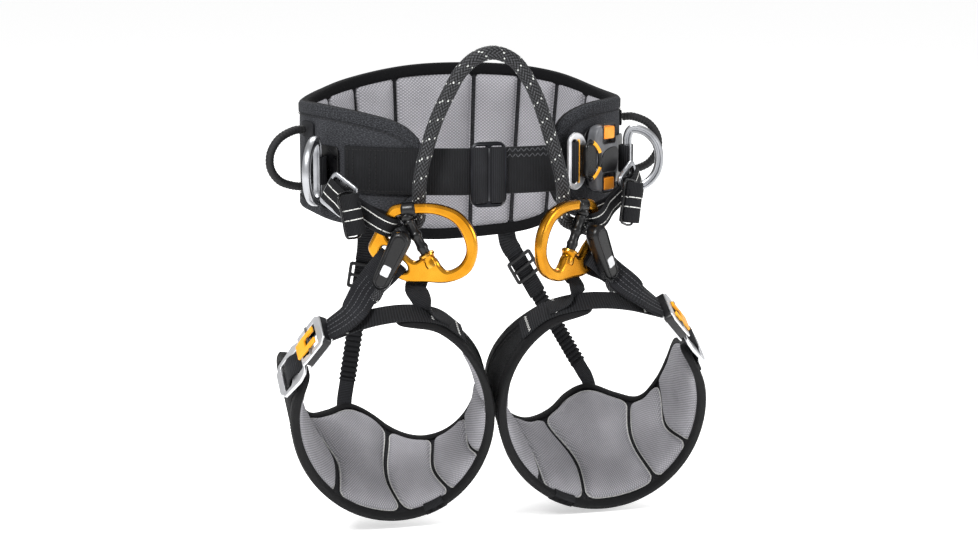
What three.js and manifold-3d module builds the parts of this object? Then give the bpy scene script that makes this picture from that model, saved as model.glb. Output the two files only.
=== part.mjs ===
// Tree climbing saddle: padded waist belt, two padded leg loops, gated side rings and a rope bridge.
// Millimetres, +Z up, the wearer faces -Y. The origin is the middle of the belt at strap height.
import * as THREE from 'three';
import { mergeVertices } from 'three/addons/utils/BufferGeometryUtils.js';
import Module from 'manifold-3d';

// ---------------------------------------------------------------- driving dimensions
const GAP = 0.4;                       // clearance between neighbouring solids
const BELT = { a: 154, b: 112, shell: 4, lining: 7.5 };   // outer half axes and layer thicknesses
const WING_LEFT = 248;                 // angle of the belt's left front tip, degrees from +X
const WING_RIGHT = -68;                // angle of its right front tip
const STRAP = { width: 43, thick: 2.5, z: -6.5 };         // waist webbing and its mid height
const LEG_TILT = 32;                   // degrees that the leg loops' axes rise towards the back
const PAD = { shell: 3, lining: 7, binding: 3.2 };        // leg pad layers
const WEB = { riser: 24, rear: 22, thick: 2.2 };          // narrower webbings
const ROPE_D = 13;                     // bridge rope
const GEAR_D = 8;                      // gear loop tube
const RING_THICK = 9;                  // gated rings, front to back
const PIN_D = 6;                       // screw pins of the gated rings
const SIDE_RING = { height: 66, depth: 38, wide: 8, thick: 7 };

// Leg loop rims: centre (x, v), half axes and lean; v climbs along the tilted loop's plane. The turn and
// wide values place and scale the pad, drop flattens the top, and inner is the inner riser's angle.
const LEGS = {
  left: { side: -1, cx: -85.5, cv: 42, ax: 91, av: 133, lean: -0.15, turn: 0, wide: 0.97, drop: 1, inner: 72 },
  right: { side: 1, cx: 119, cv: 39, ax: 98, av: 136, lean: -0.18, turn: 9, wide: 1.08, drop: 0.65, inner: 78 },
};
// Gated rings: centre and yaw of each, and where along the top bar the rope hangs.
const RINGS = {
  left: { side: -1, at: [-62, -131, -68], yaw: 22, hang: -12 },
  right: { side: 1, at: [64, -139, -70], yaw: 34, hang: -10 },
};

// ---------------------------------------------------------------- small helpers
const wasm = await Module();
wasm.setup();
const group = new THREE.Group();
const rad = THREE.MathUtils.degToRad;
const lerp = THREE.MathUtils.lerp;
const V = (x, y, z) => new THREE.Vector3(x, y, z);

const LOOKS = {
  shell: [0x2b2c2f, 0.9, 0],
  lining: [0x9b9ba0, 0.95, 0],
  binding: [0x151516, 0.85, 0],
  webbing: [0x1b1c1e, 0.85, 0],
  gold: [0xe8a020, 0.35, 0.9],
  silver: [0xd0d2d4, 0.35, 0.9],
  steel: [0x8d8f92, 0.4, 0.8],
  rubber: [0x1a1a1c, 0.7, 0],
  plastic: [0x333436, 0.5, 0],
  grey_plastic: [0x8e8f94, 0.5, 0],
  orange: [0xf08c1e, 0.45, 0],
  yellow: [0xf2b01e, 0.45, 0],
  rope: [0x232326, 0.9, 0],
};

function add(name, geometry, look, matrix = null) {
  const [color, roughness, metalness] = LOOKS[look];
  const material = new THREE.MeshStandardMaterial({ color, roughness, metalness });
  const mirrored = matrix && matrix.determinant() < 0;
  const mesh = new THREE.Mesh(outward(mirrored ? geometry.applyMatrix4(matrix) : geometry), material);
  mesh.name = name;
  if (matrix && !mirrored) mesh.applyMatrix4(matrix);
  group.add(mesh);
}

// Welds a geometry and turns its faces outward.
function outward(geometry) {
  const bare = geometry.clone();
  for (const key of Object.keys(bare.attributes)) if (key !== 'position') bare.deleteAttribute(key);
  const welded = mergeVertices(bare, 1e-4);
  const p = welded.attributes.position;
  const index = welded.index.array;
  const [a, b, c] = [V(), V(), V()];
  let volume = 0;
  for (let i = 0; i < index.length; i += 3) {
    a.fromBufferAttribute(p, index[i]);
    b.fromBufferAttribute(p, index[i + 1]);
    c.fromBufferAttribute(p, index[i + 2]);
    volume += a.dot(b.cross(c));
  }
  if (volume < 0) for (let i = 0; i < index.length; i += 3) [index[i], index[i + 1]] = [index[i + 1], index[i]];
  return welded;
}

// Skins a row of equal rings of points; an open row gets flat ends.
function loft(rings, closed = false) {
  const count = rings[0].length;
  const positions = rings.flat().flatMap((p) => [p.x, p.y, p.z]);
  const index = [];
  const last = closed ? rings.length : rings.length - 1;
  for (let i = 0; i < last; i += 1) {
    const from = i * count;
    const to = ((i + 1) % rings.length) * count;
    for (let j = 0; j < count; j += 1) {
      const k = (j + 1) % count;
      index.push(from + j, from + k, to + k, from + j, to + k, to + j);
    }
  }
  if (!closed) {
    const end = (rings.length - 1) * count;
    for (let j = 1; j < count - 1; j += 1) {
      index.push(0, j + 1, j);
      index.push(end, end + j, end + j + 1);
    }
  }
  const geometry = new THREE.BufferGeometry();
  geometry.setAttribute('position', new THREE.Float32BufferAttribute(positions, 3));
  geometry.setIndex(index);
  return geometry;
}

// Smooth value through [position, value] keys, with flat ends.
function profile(keys) {
  const slope = (i) => {
    if (i === 0 || i === keys.length - 1) return 0;
    return (keys[i + 1][1] - keys[i - 1][1]) / (keys[i + 1][0] - keys[i - 1][0]);
  };
  return (x) => {
    let i = 0;
    while (i < keys.length - 2 && x > keys[i + 1][0]) i += 1;
    const span = keys[i + 1][0] - keys[i][0];
    const t = THREE.MathUtils.clamp((x - keys[i][0]) / span, 0, 1);
    const [t2, t3] = [t * t, t * t * t];
    return (2 * t3 - 3 * t2 + 1) * keys[i][1] + (t3 - 2 * t2 + t) * span * slope(i)
      + (3 * t2 - 2 * t3) * keys[i + 1][1] + (t3 - t2) * span * slope(i + 1);
  };
}

const range = (count) => Array.from({ length: count + 1 }, (_, i) => i / count);
const curveOf = (points) => new THREE.CatmullRomCurve3(points.map((p) => (p.isVector3 ? p : V(...p))));

// A flat strip along a path; across(t) is the direction of its width.
function strip(points, across, width, thick, steps) {
  const curve = curveOf(points);
  const rings = range(steps).map((t) => {
    const centre = curve.getPointAt(t);
    const tangent = curve.getTangentAt(t);
    const w = across(t).clone();
    w.addScaledVector(tangent, -w.dot(tangent)).normalize();
    const n = tangent.clone().cross(w);
    const half = (typeof width === 'function' ? width(t) : width) / 2;
    return [[-1, -1], [1, -1], [1, 1], [-1, 1]].map(([i, j]) => centre.clone()
      .addScaledVector(w, i * half).addScaledVector(n, j * thick / 2));
  });
  return loft(rings);
}

// A strip folded round a bar at the last point, both layers running back to the first point.
function hairpin(points, across, width, thick, barRadius, steps) {
  const curve = curveOf(points);
  const loopR = barRadius + GAP + thick / 2;
  const reach = 3 * barRadius;
  const length = curve.getLength();
  const front = [];
  const back = [];
  let tangent;
  let n;
  for (const t of range(steps)) {
    const left = length * (1 - t);
    if (left < 0.2) break;
    const s = THREE.MathUtils.smoothstep(reach - left, 0, reach);
    const offset = lerp(thick / 2 + GAP / 2, loopR, s);
    tangent = curve.getTangentAt(t);
    n = tangent.clone().cross(across).normalize();
    const p = curve.getPointAt(t);
    front.push(p.clone().addScaledVector(n, offset));
    back.unshift(p.clone().addScaledVector(n, -offset));
  }
  const bar = curve.getPointAt(1);
  const arc = range(6).map((t) => bar.clone()
    .addScaledVector(n, loopR * Math.cos(Math.PI * t))
    .addScaledVector(tangent, loopR * Math.sin(Math.PI * t)));
  const path = [...front, ...arc, ...back];
  const rings = path.map((p, i) => {
    const along = path[Math.min(i + 1, path.length - 1)].clone().sub(path[Math.max(i - 1, 0)]).normalize();
    const w = across.clone().addScaledVector(along, -across.dot(along)).normalize();
    const m = along.clone().cross(w);
    return [[-1, -1], [1, -1], [1, 1], [-1, 1]].map(([a, b]) => p.clone()
      .addScaledVector(w, a * width / 2).addScaledVector(m, b * thick / 2));
  });
  return loft(rings);
}

// A round tube along a curve.
function tube(points, diameter, steps, sides) {
  const section = new THREE.Shape();
  section.setFromPoints(range(sides).slice(0, sides).map((t) => new THREE.Vector2(
    Math.cos(2 * Math.PI * t), Math.sin(2 * Math.PI * t)).multiplyScalar(diameter / 2)));
  return new THREE.ExtrudeGeometry(section, { steps, bevelEnabled: false, extrudePath: curveOf(points) });
}

// A flat plate cut from an outline with holes, its thickness along local Z and centred on it.
function plate(outline, holes, thick, bevel = 0, curveSegments = 3) {
  if (Array.isArray(outline) && THREE.ShapeUtils.isClockWise(outline)) outline.reverse();
  const shape = Array.isArray(outline) ? new THREE.Shape(outline) : outline;
  shape.holes = holes;
  const geometry = new THREE.ExtrudeGeometry(shape, {
    depth: thick - 2 * bevel, bevelEnabled: bevel > 0, bevelThickness: bevel, bevelSize: bevel,
    bevelOffset: -bevel, bevelSegments: 1, curveSegments,
  });
  return geometry.translate(0, 0, bevel - thick / 2);
}

function roundedRect(cx, cy, width, height, radius, Type = THREE.Shape) {
  const [x0, x1, y0, y1] = [cx - width / 2, cx + width / 2, cy - height / 2, cy + height / 2];
  const s = new Type();
  s.moveTo(x0 + radius, y0);
  s.lineTo(x1 - radius, y0);
  s.absarc(x1 - radius, y0 + radius, radius, -Math.PI / 2, 0, false);
  s.lineTo(x1, y1 - radius);
  s.absarc(x1 - radius, y1 - radius, radius, 0, Math.PI / 2, false);
  s.lineTo(x0 + radius, y1);
  s.absarc(x0 + radius, y1 - radius, radius, Math.PI / 2, Math.PI, false);
  s.lineTo(x0, y0 + radius);
  s.absarc(x0 + radius, y0 + radius, radius, Math.PI, 1.5 * Math.PI, false);
  return s;
}

// A closed smooth outline through a few points, always counter-clockwise.
function smoothOutline(points, count) {
  const curve = new THREE.CatmullRomCurve3(points.map(([x, y]) => V(x, y, 0)), true);
  const outline = curve.getPoints(count).slice(0, count).map((p) => new THREE.Vector2(p.x, p.y));
  return THREE.ShapeUtils.isClockWise(outline) ? outline.reverse() : outline;
}

// A matrix whose local X, Y and Z run along the given directions.
function frameOf(origin, x, y) {
  const z = x.clone().cross(y).normalize();
  return new THREE.Matrix4().makeBasis(x, z.clone().cross(x), z).setPosition(origin);
}

function solidOf(geometry) {
  const g = outward(geometry);
  return new wasm.Manifold(new wasm.Mesh({
    numProp: 3,
    vertProperties: new Float32Array(g.attributes.position.array),
    triVerts: new Uint32Array(g.index.array),
  }));
}

function cut(body, ...tools) {
  let solid = solidOf(body);
  for (const tool of tools) solid = solid.subtract(solidOf(tool));
  const mesh = solid.getMesh();
  const geometry = new THREE.BufferGeometry();
  geometry.setAttribute('position', new THREE.BufferAttribute(mesh.vertProperties, 3));
  geometry.setIndex(new THREE.BufferAttribute(mesh.triVerts, 1));
  return geometry;
}

const block = (x0, x1, y0, y1, z0, z1) => new THREE.BoxGeometry(x1 - x0, y1 - y0, z1 - z0)
  .translate((x0 + x1) / 2, (y0 + y1) / 2, (z0 + z1) / 2);

function rod(from, to, radius, sides = 12) {
  const [a, b] = [V(...from), V(...to)];
  const g = new THREE.CylinderGeometry(radius, radius, a.distanceTo(b), sides);
  const turn = new THREE.Quaternion().setFromUnitVectors(V(0, 1, 0), b.clone().sub(a).normalize());
  return g.applyQuaternion(turn).translate(...a.add(b).multiplyScalar(0.5).toArray());
}

// ---------------------------------------------------------------- waist belt
function beltPoint(degrees, offset, z) {
  const t = rad(degrees);
  const n = V(Math.cos(t) / BELT.a, Math.sin(t) / BELT.b, 0).normalize();
  return V(BELT.a * Math.cos(t), BELT.b * Math.sin(t), z).addScaledVector(n, offset);
}

const beltNormal = (degrees) => beltPoint(degrees, 1, 0).sub(beltPoint(degrees, 0, 0));

const beltTop = profile([[-68, 4], [-65, 24], [-60, 38], [-48, 46], [-30, 47], [0, 45], [18, 48], [41, 60],
  [60, 66], [84, 68], [102, 66], [128, 57], [145, 50], [165, 46], [195, 48], [213, 46], [228, 41],
  [238, 34], [244, 22], [248, 4]]);
const beltBottom = profile([[-68, -22], [-64, -38], [-54, -55], [-36, -58], [-10, -52], [10, -52], [30, -70],
  [48, -92], [60, -100], [85, -106], [100, -103], [120, -88], [135, -72], [155, -54], [188, -50], [212, -56],
  [232, -56], [243, -40], [248, -22]]);

const BELT_STEPS = 48;
const beltAngle = (t) => lerp(WING_RIGHT, WING_LEFT, t);

// One cloth layer of the belt, from its far face to the face it shares with the other layer.
function beltLayer(far, shared) {
  const trim = 2.5;
  const tip = 0.6;
  const rings = range(BELT_STEPS).map((t) => {
    const angle = lerp(WING_RIGHT + tip, WING_LEFT - tip, t);
    const [low, high] = [beltBottom(angle) + trim, beltTop(angle) - trim];
    return [[far, low], [far, high], [shared, high], [shared, low]].map(([d, z]) => beltPoint(angle, d, z));
  });
  return loft(rings);
}

// The binding tape: a flat bead that runs round the whole edge of the belt.
function beltBinding() {
  const depth = BELT.shell + BELT.lining + GAP;
  const edge = [
    ...range(BELT_STEPS).map((t) => [beltAngle(t), beltTop(beltAngle(t)), 1]),
    ...range(BELT_STEPS).reverse().map((t) => [beltAngle(t), beltBottom(beltAngle(t)), -1]),
  ];
  const rings = edge.map(([angle, z, up]) => {
    const end = angle > WING_LEFT - 0.1 ? 0.5 : angle < WING_RIGHT + 0.1 ? -0.5 : 0;
    return [[0.4, -1.7], [0.4, 1.7], [-depth - 0.4, 1.7], [-depth - 0.4, -1.7]]
      .map(([offset, half]) => beltPoint(angle + end, offset, z + up * half));
  });
  return loft(rings, true);
}

add('belt_shell', beltLayer(0, -BELT.shell), 'shell');
add('belt_lining', beltLayer(-BELT.shell - GAP - BELT.lining, -BELT.shell - GAP), 'lining');
add('belt_binding', beltBinding(), 'binding');

// ---------------------------------------------------------------- waist strap and its slider
const UP = V(0, 0, 1);
const SLIDER = { x: -5, y: -119.5, z: -9, width: 34, height: 60, thick: 3.5, bar: 4 };
const strapOffset = 1 + STRAP.thick / 2;
const strapAt = (degrees) => beltPoint(degrees, strapOffset, STRAP.z);

add('waist_strap_left', strip([strapAt(216), strapAt(222), strapAt(228), strapAt(234), strapAt(240), strapAt(246),
  V(-50, -108.5, STRAP.z), V(-36, -112.5, STRAP.z), V(-24, -115, STRAP.z), V(-8, -115.5, STRAP.z)],
() => UP, STRAP.width, STRAP.thick, 22), 'webbing');
add('waist_strap_right', strip([V(-3, -115.5, STRAP.z), V(20, -115.5, STRAP.z), V(42, -114.8, STRAP.z),
  V(56, -112.5, STRAP.z), V(66, -109.5, STRAP.z)], () => UP, STRAP.width, STRAP.thick, 10), 'webbing');

function sliderFrame() {
  const slot = (SLIDER.width - 3 * SLIDER.bar) / 2;
  const holes = [-1, 1].map((s) => roundedRect(s * (slot + SLIDER.bar) / 2, 0, slot,
    SLIDER.height - 2 * SLIDER.bar, 2, THREE.Path));
  return plate(roundedRect(0, 0, SLIDER.width, SLIDER.height, 9), holes, SLIDER.thick);
}
add('slider_frame', sliderFrame(), 'steel', frameOf(V(SLIDER.x, SLIDER.y, SLIDER.z), V(1, 0, 0), UP));

// ---------------------------------------------------------------- quick-release waist buckle
const BUCKLE = { angle: -48.5, x: 7, width: 38, height: 60, base: 3, depth: 13 };
const buckleNormal = beltNormal(BUCKLE.angle);
const buckleAlong = UP.clone().cross(buckleNormal);
const buckleFrame = frameOf(beltPoint(BUCKLE.angle, 0, -2), buckleAlong, UP);
const BUTTON = { width: 14, height: 9 };

function buckleCover() {
  const outline = smoothOutline([[-6, -29], [8, -30], [19, -21], [23, 0], [19, 21], [8, 30], [-6, 29],
    [-11, 16], [-12.5, 0], [-11, -16]], 28);
  const body = plate(outline, [], BUCKLE.depth, 3).translate(0, 0, BUCKLE.base + 0.8 + GAP + BUCKLE.depth / 2);
  const pocket = block(-30, 0.5, -14.5, 14.5, 4.9, 9.2);
  const button = (s) => block(1 - GAP, BUTTON.width + 1 + GAP, s > 0 ? 20 : -40, s > 0 ? 40 : -20, 9.5, 30);
  return cut(body, pocket, button(1), button(-1));
}

function tonguePlate() {
  const outline = smoothOutline([[-39, -19], [-36, -24], [-29, -26.5], [-20, -23], [-14.5, -15], [-13, -12.5], [-7, -12],
    [-3, -11], [-2.5, 0], [-3, 11], [-7, 12], [-13, 12.5], [-14.5, 15], [-20, 23], [-29, 26.5], [-36, 24], [-39, 19],
    [-39.5, 0]], 36);
  return plate(outline, [roundedRect(-32, 0, 6, 40, 2, THREE.Path)], 3.5).translate(0, 0, 7);
}

add('waist_buckle_base', plate(roundedRect(BUCKLE.x, 0, BUCKLE.width, BUCKLE.height - 4, 10), [], BUCKLE.base)
  .translate(0, 0, BUCKLE.base / 2 + 0.8), 'plastic', buckleFrame);
add('waist_buckle_cover', buckleCover(), 'grey_plastic', buckleFrame);
add('waist_tongue', tonguePlate(), 'silver', buckleFrame);
for (const [name, s] of [['top', 1], ['bottom', -1]]) {
  const outer = s * (20 + GAP + BUTTON.height);
  const inner = s * 23.5;
  const body = block(1, BUTTON.width + 1, Math.min(outer, inner), Math.max(outer, inner), 9.5 + GAP, 17.6);
  add(`waist_button_${name}`, body, 'orange', buckleFrame);
}

// ---------------------------------------------------------------- side rings and their hinge tabs
function sideRingLoop() {
  const { height: h, depth: d, wide: w } = SIDE_RING;
  const bar = w / 2;
  const both = (points) => [...points, ...points.map(([x, y]) => [x, -y]).reverse()];
  const outer = smoothOutline(both([[-bar, 9], [-bar, 18], [-bar, h / 2 - 6], [1, h / 2 - 0.5], [16, h / 2 - 3.5],
    [28, h / 3.1], [d - bar, 7]]), 30);
  const inner = smoothOutline(both([[bar, 8], [bar, h / 2 - 13], [8, h / 2 - 9], [16, h / 2 - 12], [23, h / 4],
    [d - bar - w, 5]]), 22);
  return plate(outer, [new THREE.Path(inner)], SIDE_RING.thick, 1.2);
}

const SIDE = { left: { angle: 205, turn: 27 }, right: { angle: -25, turn: 18 } };
const TAB = { hole: 6.2, wall: 2.2, spread: 62, length: 26 };
for (const [name, { angle, turn }] of Object.entries(SIDE)) {
  const bar = beltPoint(angle, 11, -9);
  const out = beltNormal(angle).applyAxisAngle(UP, rad(turn));
  add(`side_ring_${name}`, sideRingLoop(), 'silver', frameOf(bar, out, UP));
  // The tab is a webbing sleeve folded round the ring's straight bar, open towards the ring.
  const outline = [];
  for (const t of range(9)) {
    const a = rad(lerp(TAB.spread, 360 - TAB.spread, t));
    outline.push(new THREE.Vector2(Math.cos(a), Math.sin(a)).multiplyScalar(TAB.hole + TAB.wall));
  }
  for (const t of range(9)) {
    const a = rad(lerp(360 - TAB.spread, TAB.spread, t));
    outline.push(new THREE.Vector2(Math.cos(a), Math.sin(a)).multiplyScalar(TAB.hole));
  }
  const normal = beltNormal(angle);
  add(`side_ring_tab_${name}`, plate(outline, [], TAB.length), 'webbing',
    frameOf(bar, normal, UP.clone().cross(normal)));
}

// ---------------------------------------------------------------- gear loops
const GEAR = { left_front: 192, left_rear: 124, right_front: -4, right_rear: 50 };
for (const [name, angle] of Object.entries(GEAR)) {
  const at = (offset, z) => beltPoint(angle, offset, z);
  const root = GEAR_D / 2 + 1.2;
  add(`gear_loop_${name}`, tube([at(root, 25), at(15, 25), at(31, 18), at(40, 5), at(40, -9), at(31, -21),
    at(15, -27), at(root, -28)], GEAR_D, 17, 8), 'rubber');
}

// ---------------------------------------------------------------- gated rings, pins and sleeves
const PIN = { top: [-24.8, 29.5], bottom: [6.2, -28.8] };      // in the ring's plane
const pinAlong = V(PIN.bottom[0] - PIN.top[0], PIN.bottom[1] - PIN.top[1], 0).normalize();

function ringBody() {
  const outer = smoothOutline([[-34, 34], [-12, 36.5], [8, 36], [27, 29], [40, 13], [43, -6], [36, -25], [18, -34.5],
    [-4, -35], [-24, -34], [-44, -21], [-56, -6], [-51, 8], [-42, 24]], 34);
  const eye = smoothOutline([[-29.5, 24.5], [-14, 27], [6, 26.5], [21, 20], [30, 7], [32.5, -7], [26, -19], [15, -24],
    [10, -20], [5, -13], [-5, -11], [-14, -16], [-26, -6.5], [-38, 4.5], [-39.5, 11]], 28);
  const slot = smoothOutline([[-44.5, -5], [-41, -2.5], [-31, -11], [-21, -20], [-21, -24.5], [-25, -25.5],
    [-34, -17.5], [-44, -9]], 14);
  const body = plate(outer, [new THREE.Path(eye), new THREE.Path(slot)], RING_THICK, 2);
  const end = (p, along) => [p[0] + pinAlong.x * along, p[1] + pinAlong.y * along, 0];
  return cut(body, rod(end(PIN.top, -0.6), end(PIN.bottom, 40), PIN_D / 2 + 0.3, 16));
}

function ringSleeve() {
  const [bore, slim, fat] = [PIN_D / 2 + GAP, 4, 5];
  const length = 34;
  const ribs = [0.1, 0.42, 0.76];
  const points = [new THREE.Vector2(bore, 0), new THREE.Vector2(slim, 0)];
  for (const rib of ribs) {
    for (const [step, r] of [[0, slim], [0.04, fat], [0.1, fat], [0.14, slim]]) {
      points.push(new THREE.Vector2(r, (rib + step) * length));
    }
  }
  points.push(new THREE.Vector2(slim, length), new THREE.Vector2(bore, length), new THREE.Vector2(bore, 0));
  return new THREE.LatheGeometry(points, 10);
}

function ringFrame({ side, at, yaw }) {
  const x = V(-side * Math.cos(rad(yaw)), -Math.sin(rad(yaw)), 0);
  const front = V(side * Math.sin(rad(yaw)), -Math.cos(rad(yaw)), 0);
  return new THREE.Matrix4().makeBasis(x, UP, front).setPosition(...at);
}

for (const [name, ring] of Object.entries(RINGS)) {
  const frame = ringFrame(ring);
  const start = V(...PIN.top, 0).addScaledVector(pinAlong, 9);
  const turn = new THREE.Matrix4().makeRotationFromQuaternion(
    new THREE.Quaternion().setFromUnitVectors(V(0, 1, 0), pinAlong)).setPosition(start);
  add(`gated_ring_${name}`, ringBody(), 'gold', frame);
  add(`ring_pin_${name}`, rod([...PIN.top, 0], [...PIN.bottom, 0], PIN_D / 2), 'steel', frame);
  add(`ring_sleeve_${name}`, ringSleeve(), 'rubber', frame.clone().multiply(turn));
}

// ---------------------------------------------------------------- bridge rope, its tails and caps
// The rope stands in an arch: each leg leaves its ring straight up behind the ring's top bar.
const TOP_BAR = { y: 31.6, behind: 13 };
const BREAK = 0.3;                      // half the gap between the arch and the tail below it
const ropeEnd = (ring) => V(ring.hang, TOP_BAR.y, -TOP_BAR.behind).applyMatrix4(ringFrame(ring));
const ARCH = [[-67.5, -118, -8], [-61.5, -120, 18], [-53.5, -122, 43], [-43.5, -124, 65], [-32, -125.5, 85],
  [-18, -126, 97.5], [-1, -126, 101.5], [17, -126, 94], [29, -126, 79], [39, -126, 60], [46, -126, 41],
  [52.5, -126.6, 20], [58.5, -126.6, 0], [63, -125.2, -18]];
const above = (ring, lift) => ropeEnd(ring).add(V(0, 0, lift));
add('bridge_rope', tube([above(RINGS.left, BREAK), above(RINGS.left, 6), ...ARCH, above(RINGS.right, 6),
  above(RINGS.right, BREAK)], ROPE_D, 36, 10), 'rope');

// In the ring's own frame: X towards the bow, Y up, Z to the front.
const tailPath = (hang) => [[hang, TOP_BAR.y - BREAK, -TOP_BAR.behind], [hang - 0.2, 27, -13.2],
  [lerp(hang, -14, 0.45), 20, -14.6], [-17, 14.5, -14.6], [-23.5, 11, -11.5], [-27, 8.8, -4], [-27.5, 8, 2], [-27.5, 8, 6]];
const CAP = { top: [-25, 4], bottom: [-42, -32], radius: 9.5, thick: 15, front: 6.6 };

function capBody() {
  const [a, b] = [new THREE.Vector2(...CAP.top), new THREE.Vector2(...CAP.bottom)];
  const heading = b.clone().sub(a).angle();
  const shape = new THREE.Shape();
  shape.absarc(a.x, a.y, CAP.radius, heading + Math.PI / 2, heading + 1.5 * Math.PI, false);
  shape.absarc(b.x, b.y, CAP.radius * 0.86, heading - Math.PI / 2, heading + Math.PI / 2, false);
  const geometry = new THREE.ExtrudeGeometry(shape, { depth: CAP.thick - 5, bevelThickness: 2.5, bevelSize: 2.5,
    bevelOffset: -2.5, bevelSegments: 1, curveSegments: 7 });
  return geometry.translate(0, 0, CAP.front + 2.5);
}

function ropeEye() {
  const a = V(...CAP.bottom, CAP.front + CAP.thick / 2);
  const down = V(CAP.bottom[0] - CAP.top[0], CAP.bottom[1] - CAP.top[1], 0).normalize();
  const aside = V(down.y, -down.x, 0);
  const at = (along, off) => a.clone().addScaledVector(down, along).addScaledVector(aside, off);
  const first = CAP.radius + GAP;
  return tube([at(first, -2), at(first + 7, -1.5), at(first + 12, 2), at(first + 13.5, 7)], 9, 6, 8);
}

for (const [name, ring] of Object.entries(RINGS)) {
  const frame = ringFrame(ring);
  add(`bridge_tail_${name}`, tube(tailPath(ring.hang), ROPE_D, 8, 10), 'rope', frame);
  add(`bridge_cap_${name}`, capBody(), 'plastic', frame);
  add(`bridge_eye_${name}`, ropeEye(), 'rope', frame);
}

// ---------------------------------------------------------------- belt risers with their adjusters
const ADJUSTER = { width: 34, length: 30, thick: 4, bar: 4.5 };
function adjusterFrame() {
  const slot = (ADJUSTER.length - 3 * ADJUSTER.bar) / 2;
  const holes = [-1, 1].map((s) => roundedRect(s * (slot + ADJUSTER.bar) / 2, 0, slot,
    ADJUSTER.width - 2 * ADJUSTER.bar, 1.5, THREE.Path));
  return plate(roundedRect(0, 0, ADJUSTER.length, ADJUSTER.width, 5), holes, ADJUSTER.thick);
}

const ROLL_RADIUS = 10.5;                                     // the spare webbing wound on itself
const BELT_ARM = { x: -41, y: 17.5, radius: 7.4 };            // the ring's bar that carries the belt riser
for (const [name, ring] of Object.entries(RINGS)) {
  const frame = ringFrame(ring);
  const arm = V(BELT_ARM.x, BELT_ARM.y, 0).applyMatrix4(frame);
  const armAlong = V(9, 17, 0).transformDirection(frame);
  const outside = V(ring.side * 0.67, -0.743, 0);           // the belt's outward direction there
  const centre = V(ring.side * 137.5, -94.5, -26);
  const down = arm.clone().sub(centre).addScaledVector(outside, -arm.clone().sub(centre).dot(outside));
  down.setZ(-26).normalize();
  const top = centre.clone().addScaledVector(down, ADJUSTER.length / 2 + 1);
  add(`adjuster_${name}`, adjusterFrame(), 'silver', frameOf(centre, down, outside.clone().cross(down)));
  add(`riser_${name}`, hairpin([top, top.clone().lerp(arm, 0.5).add(V(0, 0, -1)), arm], armAlong,
    18, WEB.thick, BELT_ARM.radius, 10), 'webbing');
  const roll = V(ring.side * 134, -119, -22);
  add(`strap_roll_${name}`, rod(roll.toArray(), [roll.x - ring.side * 6, roll.y - 6, roll.z - 36], ROLL_RADIUS, 12),
    'webbing');
}

// ---------------------------------------------------------------- leg loops
const tilt = rad(LEG_TILT);
const LOOP_Y = -60;                     // where the rims' plane crosses v = 0
const LOOP_Z = -280;
const alongAxis = V(0, Math.cos(tilt), Math.sin(tilt));
const climb = V(0, -Math.sin(tilt), Math.cos(tilt));
const PAD_START = 84;                   // the pad runs from the inner top ...
const PAD_END = -214;                   // ... under the thigh to the buckle
const widthAt = profile([[-230, 16], [-214, 30], [-200, 60], [-188, 84], [-175, 93], [-158, 96], [-140, 100],
  [-125, 116], [-112, 132], [-104, 135], [-94, 128], [-84, 113], [-70, 98], [-50, 80], [-30, 67], [-10, 56], [8, 46],
  [24, 37], [40, 29], [56, 24], [72, 21], [84, 19]]);
const liftAt = profile([[-150, 0], [-125, 6], [-110, 8], [-90, 6], [-60, 0]]);
const bulkAt = profile([[-214, 0.75], [-190, 1], [0, 1], [40, 0.7], [84, 0.6]]);
const dropAt = profile([[58, 0], [76, 6], [90, 11], [104, 15], [117, 18], [135, 18], [150, 13], [165, 5], [180, 0]]);
const unwrap = (degrees) => ((degrees + 225 + 720) % 360) - 225;    // to the pad's own span of angles
const padWidth = (leg, degrees) => leg.wide * widthAt(degrees - leg.turn);

const half = (PAD.shell + PAD.lining + GAP) / 2;

// A point of a leg loop: angle from the crotch side, s across the pad (in mm from the near rim).
function legPoint(leg, degrees, s, offset = 0) {
  const t = rad(degrees);
  const own = unwrap(degrees);
  const dx = leg.ax * Math.cos(t);
  const dv = leg.av * Math.sin(t) - leg.drop * dropAt(own > 0 ? own : own + 360);
  const lift = rad(liftAt(own - leg.turn));
  const inPad = THREE.MathUtils.clamp(offset, -half, half);
  const n = V(-leg.side * leg.av * Math.cos(t), 0, 0).addScaledVector(climb, leg.ax * Math.sin(t)).normalize();
  const axis = alongAxis.clone().multiplyScalar(Math.cos(lift)).addScaledVector(climb, Math.sin(lift));
  return V(leg.cx - leg.side * dx + leg.lean * dv, LOOP_Y, LOOP_Z)
    .addScaledVector(climb, leg.cv + dv).addScaledVector(axis, s)
    .addScaledVector(n, inPad * bulkAt(own) + offset - inPad);
}

// A frame on the chord of a leg loop between two angles: X points back up it, Z outward.
function legFrame(leg, degrees, next, s, offset) {
  const origin = legPoint(leg, degrees, s, offset);
  const x = origin.clone().sub(legPoint(leg, next, s, offset)).normalize();
  const across = alongAxis.clone().addScaledVector(x, -alongAxis.dot(x)).multiplyScalar(-leg.side);
  return frameOf(origin, x, across.normalize());
}

const LEG_STEPS = 42;
const padAngle = (t, trim = 0) => lerp(PAD_END + trim, PAD_START - trim, t);

// As for the belt: one layer from its far face to the face shared with the other layer.
function legLayer(leg, far, shared) {
  const edge = 2.4;
  return loft(range(LEG_STEPS).map((t) => {
    const angle = padAngle(t, 1);
    const wide = padWidth(leg, angle) - edge;
    return [[far, edge], [far, wide], [shared, wide], [shared, edge]].map(([d, s]) => legPoint(leg, angle, s, d));
  }));
}

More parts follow.
